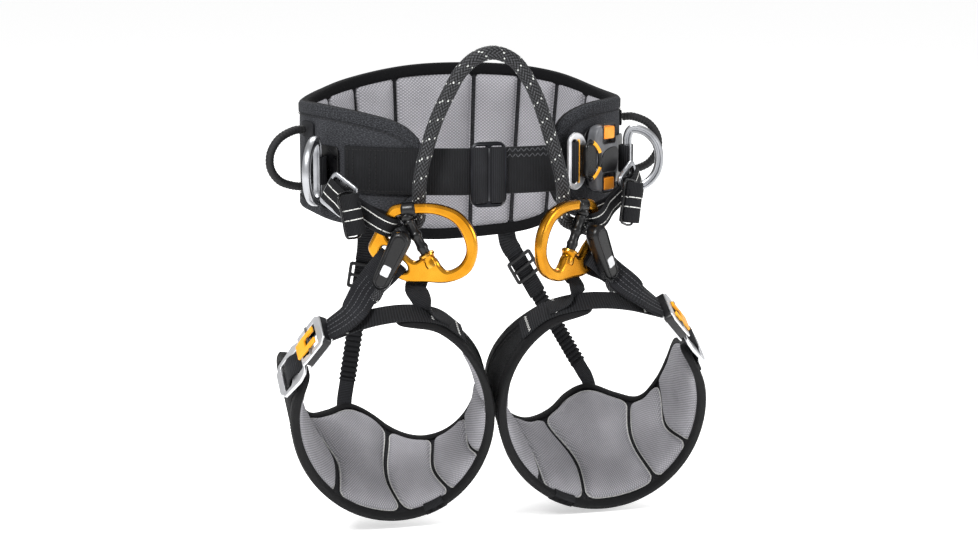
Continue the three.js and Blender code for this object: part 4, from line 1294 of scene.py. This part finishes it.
def waist_tongue():
    at = buckle_at
    half = [(-39, -19), (-36, -24), (-29, -26.5), (-20, -23), (-14.5, -15), (-13, -12.5), (-7, -12),
            (-3, -11), (-2.5, 0)]
    outline = smooth([*mirrored(half), (-39.5, 0)], 10, True)
    body = plate("waist_tongue_plate", outline, [rounded_rect(-32, 0, 6, 40, 2)], 3.5, 1.1,
                 lifted(at, 0, 0, 7), "bright")
    piece(body, "tongue", "silver", "waist_tongue")
    across = turned_direction(at, (0, 1, 0))
    loop = placed(at, [(-33, 1.5), (-35.5, 5), (-34.5, 9.5), (-31, 11), (-28.5, 9.5), (-28.3, 6), (-29, 3)])
    piece(strip("waist_tongue_web", loop, across, 37, 1.8, "webbing", 1.2), "tongue", "webbing")
    line = placed(at, [(-27.2, y, 9.8) for y in (-20, -10, 0, 10, 20)])
    piece(tube("waist_tongue_marker", line, 0.9, "yellow", 8, 4), "tongue", "yellow")
    sleeve = smooth([*mirrored([(-24, -15), (-16, -15.5), (-10.8, -11), (-9.4, 0)]), (-24.8, 0)], 8, True)
    obj = plate("waist_tongue_sleeve", sleeve, [], 8.5, 2, lifted(at, 0, 0, 13.2), "rubber")
    piece(obj, "tongue", "rubber")


def cut(obj, blocks, matrix):
    """Cuts boxes (x0, x1, y0, y1, z0, z1), given in a local frame in mm, out of a piece."""
    for x0, x1, y0, y1, z0, z1 in blocks:
        corners = [matrix @ Vector((x, y, z)) * MM for x in (x0, x1) for y in (y0, y1) for z in (z0, z1)]
        mesh = bpy.data.meshes.new("cutter")
        mesh.from_pydata(corners, [], [(0, 1, 3, 2), (4, 6, 7, 5), (0, 4, 5, 1), (2, 3, 7, 6), (0, 2, 6, 4),
                                       (1, 5, 7, 3)])
        cutter = linked("cutter", mesh)
        modifier = obj.modifiers.new("cut", "BOOLEAN")
        modifier.object = cutter
        modifier.solver = "EXACT"
        result = evaluated_mesh(obj)
        obj.modifiers.clear()
        obj.data = result
        bpy.data.objects.remove(cutter)
    obj.data.shade_smooth()
    obj.data.set_sharp_from_angle(angle=math.radians(35))


waist_straps()
slider()
waist_buckle()
waist_tongue()

# ---------------------------------------------------------------- side rings, tabs and gear loops
SIDE = {"left": {"angle": 205, "turn": 27}, "right": {"angle": -25, "turn": 18}}


def side_ring(name, angle, turn):
    bar = belt_point(angle, 11, -9)
    normal = belt_normal(angle)
    out = Matrix.Rotation(math.radians(turn), 3, "Z") @ normal
    at = frame_of(bar, out, UP)
    points = mirrored([(0, 0), (0, 11), (0.2, 21), (3.6, 27.6), (12, 27.2), (20.5, 22.6), (27, 14.6),
                       (30, 5)])
    path = Path([p.to_3d() for p in smooth(points, 10, True)], True)
    line, directions = [], []
    for t in path.steps(2.0)[:-1]:
        tangent = (path.at((t + 0.006) % 1) - path.at((t - 0.006) % 1)).normalized()
        outward = Vector((tangent.y, -tangent.x, 0))
        line.append(at @ path.at(t))
        directions.append((turned_direction(at, outward), turned_direction(at, (0, 0, 1))))
    section = mirrored([(-4, 1.8), (-3.2, 3.2), (-1.9, 3.5), (-1.1, 3.3), (-0.6, 1.7), (1.0, 1.7), (1.5, 3.3),
                        (2.6, 3.5), (3.6, 2.9), (4, 1.8)])
    rings = [[p + a * x + b * y for x, y in section] for p, (a, b) in zip(line, directions)]
    obj = skin(f"side_ring_{name}_forged", rings, girth(section), "silver", True, 30)
    piece(obj, "side_swivel_" + name, "silver", "side_ring_" + name)
    # The tab is a webbing sleeve folded round the ring's straight bar, open towards the ring.
    local = frame_of(bar, normal, UP.cross(normal))
    arc = [local @ Vector((7.3 * math.cos(a), 7.3 * math.sin(a), 0))
           for a in (math.radians(lerp(62, 298, i / 20)) for i in range(21))]
    obj = strip(f"side_ring_tab_{name}_web", arc, UP, 26, 2.2, "webbing", 1.5)
    piece(obj, "saddle", "webbing", "side_ring_tab_" + name)
    patch = plate(f"side_ring_patch_{name}", rounded_rect(0, 0, 34, 44, 5), [], 1.6, 0.5,
                  frame_of(belt_point(angle, 1.0, -9), UP.cross(normal), UP), "rubber")
    piece(patch, "saddle", "rubber")


for name, where in SIDE.items():
    side_ring(name, **where)

GEAR = {"left_front": 192, "left_rear": 124, "right_front": -4, "right_rear": 50}
for name, angle in GEAR.items():
    route = [(5.2, 25), (15, 25), (31, 18), (40, 5), (40, -9), (31, -21), (15, -27), (5.2, -28)]
    points = [belt_point(angle, offset, z) for offset, z in route]
    ribs = lambda a, s: GEAR_D / 2 - 0.35 * (0.5 + 0.5 * math.cos(2 * math.pi * s / 3.2))
    piece(tube(f"gear_loop_{name}_hose", points, ribs, "hose", 16, 0.8), "saddle", "rubber",
          f"gear_loop_{name}")
    for end, z in (("upper", 25), ("lower", -28)):
        local = frame_of(belt_point(angle, 1.3, z), UP.cross(belt_normal(angle)), UP)
        tab = plate(f"gear_tab_{name}_{end}", rounded_rect(0, 0, 22, 15, 3), [], 1.6, 0.5, local, "webbing")
        piece(tab, "saddle", "webbing")

# ---------------------------------------------------------------- gated rings with pins, sleeves and boots
PIN = {"top": Vector((-24.8, 29.5, 0)), "bottom": Vector((6.2, -28.8, 0))}
pin_along = (PIN["bottom"] - PIN["top"]).normalized()


def local_at(matrix, x, y, z=0.0):
    return matrix @ Vector((x, y, z))


def gated_ring(side, ring):
    at = ring_frame(ring)
    outer = smooth([(-34, 34), (-12, 36.5), (8, 36), (27, 29), (40, 13), (43, -6), (36, -25), (18, -34.5),
                    (-4, -35), (-24, -34), (-44, -21), (-56, -6), (-51, 8), (-42, 24)], 10, True)
    eye = smooth([(-29.5, 24.5), (-14, 27), (6, 26.5), (21, 20), (30, 7), (32.5, -7), (26, -19), (15, -24),
                  (10, -20), (5, -13), (-5, -11), (-14, -16), (-26, -6.5), (-38, 4.5), (-39.5, 11)], 8, True)
    slot = smooth([(-44.5, -5), (-41, -2.5), (-31, -11), (-21, -20), (-21, -24.5), (-25, -25.5), (-34, -17.5),
                   (-44, -9)], 8, True)
    body = plate(f"gated_ring_{side}_forged", outer, [eye, slot], RING_THICK, 2.9, at, "gold", 2, 20)
    piece(body, "saddle", "gold", "gated_ring_" + side)
    axis = turned_direction(at, pin_along)
    head = at @ PIN["top"]
    length = (PIN["bottom"] - PIN["top"]).length
    pin = turned(f"ring_pin_{side}_screw", [(2.0, 0), (3, 0.8), (3, length - 1), (2, length)], head, axis,
                 "steel")
    piece(pin, "pin_" + side, "steel", "ring_pin_" + side)
    ribs = [(3.9, 9), (5.3, 10.2), (5.6, 12.4), (5.0, 13.4), (4.6, 15.5), (4.4, 21), (5.0, 22.6), (5.7, 24),
            (5.7, 26), (4.8, 27.6), (4.4, 29), (4.4, 34), (5.1, 36), (5.3, 38), (4.6, 40), (4.3, 43)]
    sleeve = turned(f"ring_sleeve_{side}_rubber", ribs, head, axis, "rubber", 28, 60)
    piece(sleeve, "saddle", "rubber", "ring_sleeve_" + side)
    steps = [(4.6, 43.0), (6.6, 43.4), (7.6, 44.4), (7.6, 46.4), (6.4, 47.6), (6.0, 51), (6.6, 53.5),
             (6.2, 57)]
    piece(turned(f"ring_boss_{side}", steps, head, axis, "gold", 28, 40), "saddle", "gold")
    # The rubber boot wraps the top bar over the pin's head.
    bar = turned_direction(at, (22, 2.5, 0))
    centre = local_at(at, -19.6, 30.8)
    shell = [(5.2, -6.5), (6.2, -5.8), (6.5, -4), (6.5, 4), (6.2, 5.8), (5.2, 6.5)]
    piece(turned(f"ring_boot_{side}", shell, centre, bar, "rubber", 28, 60), "saddle", "rubber")
    collar = turned(f"ring_collar_{side}", [(5.4, 3.5), (6.2, 4.5), (6.0, 8), (5.2, 9.4)], head, axis,
                    "rubber", 28, 60)
    piece(collar, "saddle", "rubber")


CAP = {"top": (-25, 4), "bottom": (-42, -32), "radius": 9.5, "thick": 15, "front": 6.6}


def capsule(shrink, share=1.0):
    """The cap's outline, drawn in by shrink; share is how far down it reaches."""
    a, b = Vector(CAP["top"]), Vector(CAP["bottom"])
    b = a.lerp(b, share)
    heading = math.atan2((b - a).y, (b - a).x)
    points = []
    for centre, radius, turn in ((a, CAP["radius"], 0.5), (b, CAP["radius"] * lerp(1, 0.86, share), -0.5)):
        r = radius - shrink
        for i in range(15):
            angle = heading + math.pi * (turn + i / 14)
            points.append((centre.x + r * math.cos(angle), centre.y + r * math.sin(angle)))
    return points


def bridge_cap(side, ring):
    at = ring_frame(ring)
    middle = CAP["front"] + CAP["thick"] / 2
    body = plate(f"bridge_cap_{side}_shell", capsule(0), [], CAP["thick"], 5.0, lifted(at, 0, 0, middle),
                 "rubber", 6, 40)
    piece(body, "saddle", "plastic", "bridge_cap_" + side)
    top = CAP["front"] + CAP["thick"]
    rim = plate(f"bridge_cap_{side}_rim", capsule(2.6), [capsule(3.6)], 1.2, 0.45, lifted(at, 0, 0, top),
                "plastic")
    piece(rim, "saddle", "plastic")
    a, b = Vector(CAP["top"]), Vector(CAP["bottom"])
    down = (b - a).normalized()
    spot = a.lerp(b, 0.72)
    turn = Matrix.Rotation(math.atan2(down.y, down.x), 4, "Z")
    window = plate(f"bridge_cap_{side}_window", rounded_rect(0, 0, 10, 8, 1.6), [], 0.8, 0.3,
                   at @ Matrix.Translation((spot.x, spot.y, top + 0.1)) @ turn, "window")
    piece(window, "saddle", "plastic")
    aside = Vector((down.y, -down.x))
    first = CAP["radius"] + GAP
    keys = [(first - 5, -1.5), (first + 1, -2), (first + 7, -1.5), (first + 12, 2), (first + 13, 6.5)]
    line = []
    for along, off in keys:
        p = b + down * along + aside * off
        line.append(local_at(at, p.x, p.y, middle))
    piece(braid(f"bridge_eye_{side}_braid", line, 9), "saddle", "rope", "bridge_eye_" + side)


for side, ring in RINGS.items():
    gated_ring(side, ring)
    bridge_cap(side, ring)

# ---------------------------------------------------------------- belt risers, adjusters and rolled webbing
ADJUSTER = {"width": 34, "length": 30, "thick": 4, "bar": 4.5}
ROLL_RADIUS = 10.5
BELT_ARM = {"x": -41, "y": 17.5, "radius": 7.4}


def belt_riser(side, ring):
    at = ring_frame(ring)
    k = ring["side"]
    arm = local_at(at, BELT_ARM["x"], BELT_ARM["y"])
    arm_along = turned_direction(at, (9, 17, 0))
    outside = Vector((k * 0.67, -0.743, 0))
    centre = Vector((k * 137.5, -94.5, -26))
    down = (arm - centre) - outside * (arm - centre).dot(outside)
    down.z = -26
    down.normalize()
    top = centre + down * (ADJUSTER["length"] / 2 + 1)
    holes = two_slots(ADJUSTER["length"], ADJUSTER["width"], ADJUSTER["bar"], 1.5)
    local = frame_of(centre, down, outside.cross(down))
    body = plate(f"adjuster_{side}_frame", rounded_rect(0, 0, ADJUSTER["length"], ADJUSTER["width"], 5),
                 holes, ADJUSTER["thick"], 1.3, local, "silver")
    piece(body, "saddle", "silver", "adjuster_" + side)
    middle = top.lerp(arm, 0.5) + Vector((0, 0, -1))
    obj = folded(f"riser_{side}_web", [top, middle, arm], arm_along, 18, WEB["thick"], BELT_ARM["radius"],
                 "striped")
    piece(obj, "saddle", "webbing", "riser_" + side)
    across = turned_direction(local, (0, 1, 0))
    weave = placed(local, [(-15, -2.5), (-11, -1.5), (-6, 1.5), (0, 4.6), (6, 1.5), (11, -1.5), (15, -2.5)])
    piece(strip(f"adjuster_{side}_web", weave, across, 23, 2.0, "striped", 1.5), "saddle", "webbing")
    start = Vector((k * 134, -119, -22))
    end = start + Vector((-k * 6, -6, -36))
    rolled = (start - end).normalized()
    spare = placed(local, [(-12, 0, 5), (-4, 0, 7.6), (6, 0, 9.5), (13, -1, 10.5)])
    spare.append(start.lerp(end, 0.5) - (outside.cross(rolled)).normalized() * -k * ROLL_RADIUS * 0.7)
    obj = strip(f"strap_spare_{side}_web", spare, lambda t: across.lerp(rolled, t), 22, 2.0, "striped", 1.5)
    piece(obj, "saddle", "webbing")
    strap_roll(side, k, start, end)


def strap_roll(side, k, start, end):
    """Spare webbing wound on itself, held by a thin elastic band."""
    axis = (end - start).normalized()
    n, b = square_pair(axis)
    turns, inner, thick, steps = 3.4, 1.8, 2.0, 100
    wide = (end - start).length
    rings = []
    for i in range(steps + 1):
        a = 2 * math.pi * turns * i / steps
        r = lerp(inner, ROLL_RADIUS - thick / 2, i / steps)
        direction = n * math.cos(a) + b * math.sin(a)
        rings.append([start.lerp(end, 0.5) + axis * x + direction * (r + y)
                      for x, y in web_section(wide, thick)])
    obj = skin(f"strap_roll_{side}_web", rings, web_across(wide, thick), "striped")
    piece(obj, "saddle", "webbing", "strap_roll_" + side)
    out = n if n.dot(Vector((k * 0.67, -0.743, 0))) > 0 else -n
    aside = axis.cross(out) * 3
    reach = ROLL_RADIUS + 0.9
    half = [start - axis * 2 + out * 2, start + out * reach, start.lerp(end, 0.5) + out * (reach + 0.3),
            end + out * reach, end + axis * 2 + out * 3]
    other = [end + axis * 2.4 - out * 3, end - out * reach, start.lerp(end, 0.5) - out * (reach + 0.2),
             start - out * reach, start - axis * 2 - out * 3]
    obj = tube(f"strap_roll_{side}_band", [p + aside for p in half + other], 1.1, "rubber", 8, 2, True)
    piece(obj, "saddle", "rubber")


for side, ring in RINGS.items():
    belt_riser(side, ring)

# ---------------------------------------------------------------- leg loops' webbing and buckles
LEG_BUCKLE = {"angle": 129, "next": 158, "s": 20, "offset": 9.5}


def leg_straps(side, leg):
    ring = ring_frame(RINGS[side])
    body = "leg_" + side
    keys = [(44, 17, 2.2), (60, 15, 2.2), (76, 13, 2.2), (90, 13, 2.4), (104, 15, 3), (116, 18, 5),
            (122, 19.5, 7.5)]
    top = [leg_point(leg, angle, s, HALF + offset) for angle, s, offset in keys]
    obj = strip(f"leg_strap_{side}_web", top, ALONG_AXIS, WEB["rear"], WEB["thick"], "rib_webbing")
    piece(obj, body, "webbing", "leg_strap_" + side)
    tacks = []
    for angle in (49, 66, 112):
        lift = HALF + (5.6 if angle > 100 else 3.7)
        row = [leg_point(leg, angle + (0.7 if i % 2 else -0.7), lerp(7, 26, i / 14) - 1, lift)
               for i in range(15)]
        tacks += list(zip(row, row[1:]))
    piece(spindles(f"leg_strap_{side}_tacks", tacks, 0.35, "pale_thread_and_painted_highlight"), body, "webbing")
    inner_arm = local_at(ring, -14, -41.5, -1)
    outer_end = leg_point(leg, 110, 17, HALF + 12)
    outer_arm = local_at(ring, -38.5, -20.5)
    inner_end = leg_point(leg, leg["inner"], 20, HALF + 10)
    arm_along = turned_direction(ring, (32, -28, 0))
    bow = turned_direction(ring, (1, 0, 0))
    route = [leg_point(leg, 120, 19, HALF + 9.5), leg_point(leg, 107, 16, HALF + 15),
             outer_arm.lerp(outer_end, 0.5) + Vector((0, 4, 1)), outer_arm]
    across = lambda t: (-ALONG_AXIS).lerp(arm_along, t)
    width = lambda t: lerp(WEB["riser"], 30, t * t)
    obj = folded(f"leg_riser_outer_{side}_web", route, across, width, 2.0, 6.2, "webbing")
    piece(obj, body, "webbing", "leg_riser_outer_" + side)
    lines = []
    path = Path(smooth(route))
    for off in (-7, -2.3, 2.3, 7):
        row = []
        for t in path.steps(2.0)[:-9]:
            tangent = path.tangent(t)
            w = square_to(tangent, across(t))
            n = tangent.cross(w)
            front = n if n.dot(Vector((0, -1, 0.3))) > 0 else -n
            row.append(path.at(t) + w * off + front * 2.35)
        lines += dashes(row, 2.6, 0.9)
    piece(spindles(f"leg_riser_outer_{side}_stitching", lines, 0.4, "grey_thread"), body, "webbing")
    behind = [local_at(ring, -13, -26, -6.5), local_at(ring, -13, -35, -6.5)]
    onto = [leg_point(leg, leg["inner"] - 3, 16, HALF + 5), leg_point(leg, leg["inner"] - 16, 14, HALF + 4.7)]
    obj = strip(f"leg_riser_inner_{side}_web", [*behind, inner_arm, inner_arm.lerp(inner_end, 0.6), *onto],
                lambda t: bow.lerp(-ALONG_AXIS, clamp(1.7 * t - 0.6, 0, 1)), lambda t: lerp(21, 15, t), 2.0,
                "fine_webbing")
    piece(obj, body, "webbing", "leg_riser_inner_" + side)


def leg_buckle(side, leg):
    seat = leg_frame(leg, LEG_BUCKLE["angle"], LEG_BUCKLE["next"], LEG_BUCKLE["s"],
                     HALF + LEG_BUCKLE["offset"])
    body = "leg_" + side
    block = plate(f"leg_buckle_{side}_frame", rounded_rect(0, 0, 35, 34, 4), [rounded_rect(0, 0, 18, 20, 2)],
                  8.4, 1.2, lifted(seat, 0, 0, -0.3), "plastic", 2)
    cut(block, [(-30, 4, -12.6, 12.6, -2.2, 2.2)], seat)
    piece(block, body, "steel", "leg_buckle_" + side)
    outline = mirrored([(-18, -11), (-18, -17), (-13, -18), (12, -18), (18, -13)])
    outline += mirrored([(-9, 11), (-9, 12.5), (9, 12.5)])
    for level, z in (("upper", 4.4), ("lower", -4.4)):
        core = plate(f"leg_buckle_{side}_{level}", outline, [], 1.8, 0.6, lifted(seat, 0, 0, z), "bright")
        piece(core, body, "steel")
    pins = placed(seat, [(-3, y, 5.2) for y in (-17.2, 0, 17.2)])
    piece(tube(f"leg_buckle_{side}_axle", pins, 1.5, "steel", 12, 4), body, "steel")
    outline = [(-19, -8), (-19, 8), (-8, 9.4), (8, 9.4), (8, 4), (-6, 4), (-6, -4), (8, -4), (8, -9.4),
               (-8, -9.4)]
    latch = plate(f"leg_latch_{side}_lever", outline, [], 2.6, 0.7, lifted(seat, -1, 0, 6.2), "yellow")
    piece(latch, f"latch_{side}", "yellow", "leg_latch_" + side)
    outline = [(16, -8), (16, 8), (1, 11), (-3, 20), (-12, 23), (-36, 20), (-42, 12), (-42, -12), (-36, -20),
               (-12, -23), (-3, -20), (1, -11)]
    slide = lifted(seat, -20, 0, 0)
    holes = [rounded_rect(-8, 0, 10, 26, 2), rounded_rect(-28, 0, 12, 32, 3)]
    body_obj = plate(f"leg_tongue_{side}_ladder", outline, holes, 3, 0.9, slide, "bright")
    piece(body_obj, f"plug_{side}", "silver", "leg_tongue_" + side)
    across = turned_direction(slide, (0, 1, 0))
    weave = placed(slide, [(-4, -3.2), (-9, -1), (-14, 2.8), (-20, 3.4), (-26, 1.5), (-32, -2.5), (-38, -4)])
    end = leg_point(leg, -206, 16, HALF + 2)
    route = weave + [weave[-1].lerp(end, 0.5), end, leg_point(leg, -199, 20, HALF + 1.4)]
    obj = strip(f"leg_tongue_{side}_web", route, lambda t: across.lerp(-leg["side"] * ALONG_AXIS, t),
                WEB["rear"] + 2, 2.2, "webbing")
    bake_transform(obj)


REAR = {"left": -71, "right": 72}
HUMP = -110


def rear_strap(side, leg):
    body = "leg_" + side
    angle = HUMP + leg["turn"]
    hump = leg_point(leg, angle, pad_width(leg, angle) + 8.6, 0)
    start = Vector((REAR[side], 98, -109.5))
    across = Vector((math.cos(math.radians(12)), leg["side"] * math.sin(math.radians(12)), 0))
    down = (hump - start).normalized()
    front = down.cross(across).normalized()
    flat = [start.lerp(hump, t) for t in (0, 0.2, 0.38)]
    obj = strip(f"rear_strap_{side}_web", flat, across, 19, 2.4, "rib_webbing")
    piece(obj, body, "webbing", "rear_strap_" + side)
    # The strap's upper end is sewn into the belt's lower edge.
    root = [start + Vector((0, 0.5, 20)), start + Vector((0, 0.3, 8)), start + down * 5, start + down * 15]
    obj = strip(f"rear_strap_{side}_root", root, across, 20, 3.8, "rib_webbing")
    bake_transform(obj)
    pucker = lambda s: 1.5 * math.sin(2 * math.pi * s / 5.2)
    stretch = [start.lerp(hump, t) for t in (0.37, 0.6, 0.88)]
    run = (stretch[-1] - stretch[0]).length
    narrow = lambda t: 16 + 1.2 * math.sin(2 * math.pi * t * run / 5.2 + 0.8)
    obj = strip(f"rear_elastic_{side}", stretch, across, narrow, 2.4, "fine_webbing", 0.6, pucker)
    piece(obj, body, "webbing")
    sewn = leg_point(leg, angle, pad_width(leg, angle) - 8, HALF + 1)
    lower = [start.lerp(hump, t) for t in (0.87, 0.94)] + [hump, sewn]
    piece(strip(f"rear_strap_{side}_end", lower, across, 15, 2.4, "webbing"), body, "webbing")
    holes = [rounded_rect(x, 0, 8, WEB["rear"] + 1.6, 1) for x in (0, 11)]
    at = frame_of(start.lerp(hump, 0.16) + front * 3.6, down, across)
    obj = plate(f"rear_buckle_{side}_ladder", rounded_rect(5.5, 0, 26, WEB["rear"] + 8, 3), holes, 3, 0.9, at,
                "plastic")
    piece(obj, body, "plastic", "rear_buckle_" + side)


for side, leg in LEGS.items():
    leg_straps(side, leg)
    leg_buckle(side, leg)
    rear_strap(side, leg)

# ---------------------------------------------------------------- stage and light
low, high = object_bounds()
floor_mesh = bpy.data.meshes.new("floor")
floor_mesh.from_pydata([(-60, -60, 0), (60, -60, 0), (60, 60, 0), (-60, 60, 0)], [], [(0, 1, 2, 3)])
floor = linked("floor", floor_mesh)
floor.location.z = low.z - 0.004
floor_look = Look("floor_paper", 0.9)
floor_look.color(rgb(0xf7f7f7))
floor_look.shader.inputs["Emission Color"].default_value = (1, 1, 1, 1)
floor_look.shader.inputs["Emission Strength"].default_value = 0.42
floor_mesh.materials.append(floor_look.material)
floor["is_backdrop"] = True


def area_light(name, place, target, size, power):
    data = bpy.data.lights.new(name, "AREA")
    data.shape = "DISK"
    data.size = size
    data.energy = power
    obj = linked(name, data)
    obj.location = place
    obj.rotation_euler = (Vector(target) - Vector(place)).to_track_quat("-Z", "Y").to_euler()


area_light("key_light", (-1.5, -1.6, 1.9), (0, 0, -0.1), 0.8, 84)
area_light("fill_light", (2.0, -1.3, 0.6), (0, 0, -0.1), 1.0, 18)
area_light("back_light", (0.3, 1.6, 2.0), (0, 0, -0.1), 1.4, 42)
world = bpy.data.worlds.new("studio")
world.use_nodes = True
world.node_tree.nodes["Background"].inputs[0].default_value = (1, 1, 1, 1)
world.node_tree.nodes["Background"].inputs[1].default_value = 0.58
scene.world = world
scene.view_settings.view_transform = "Standard"

low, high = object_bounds()
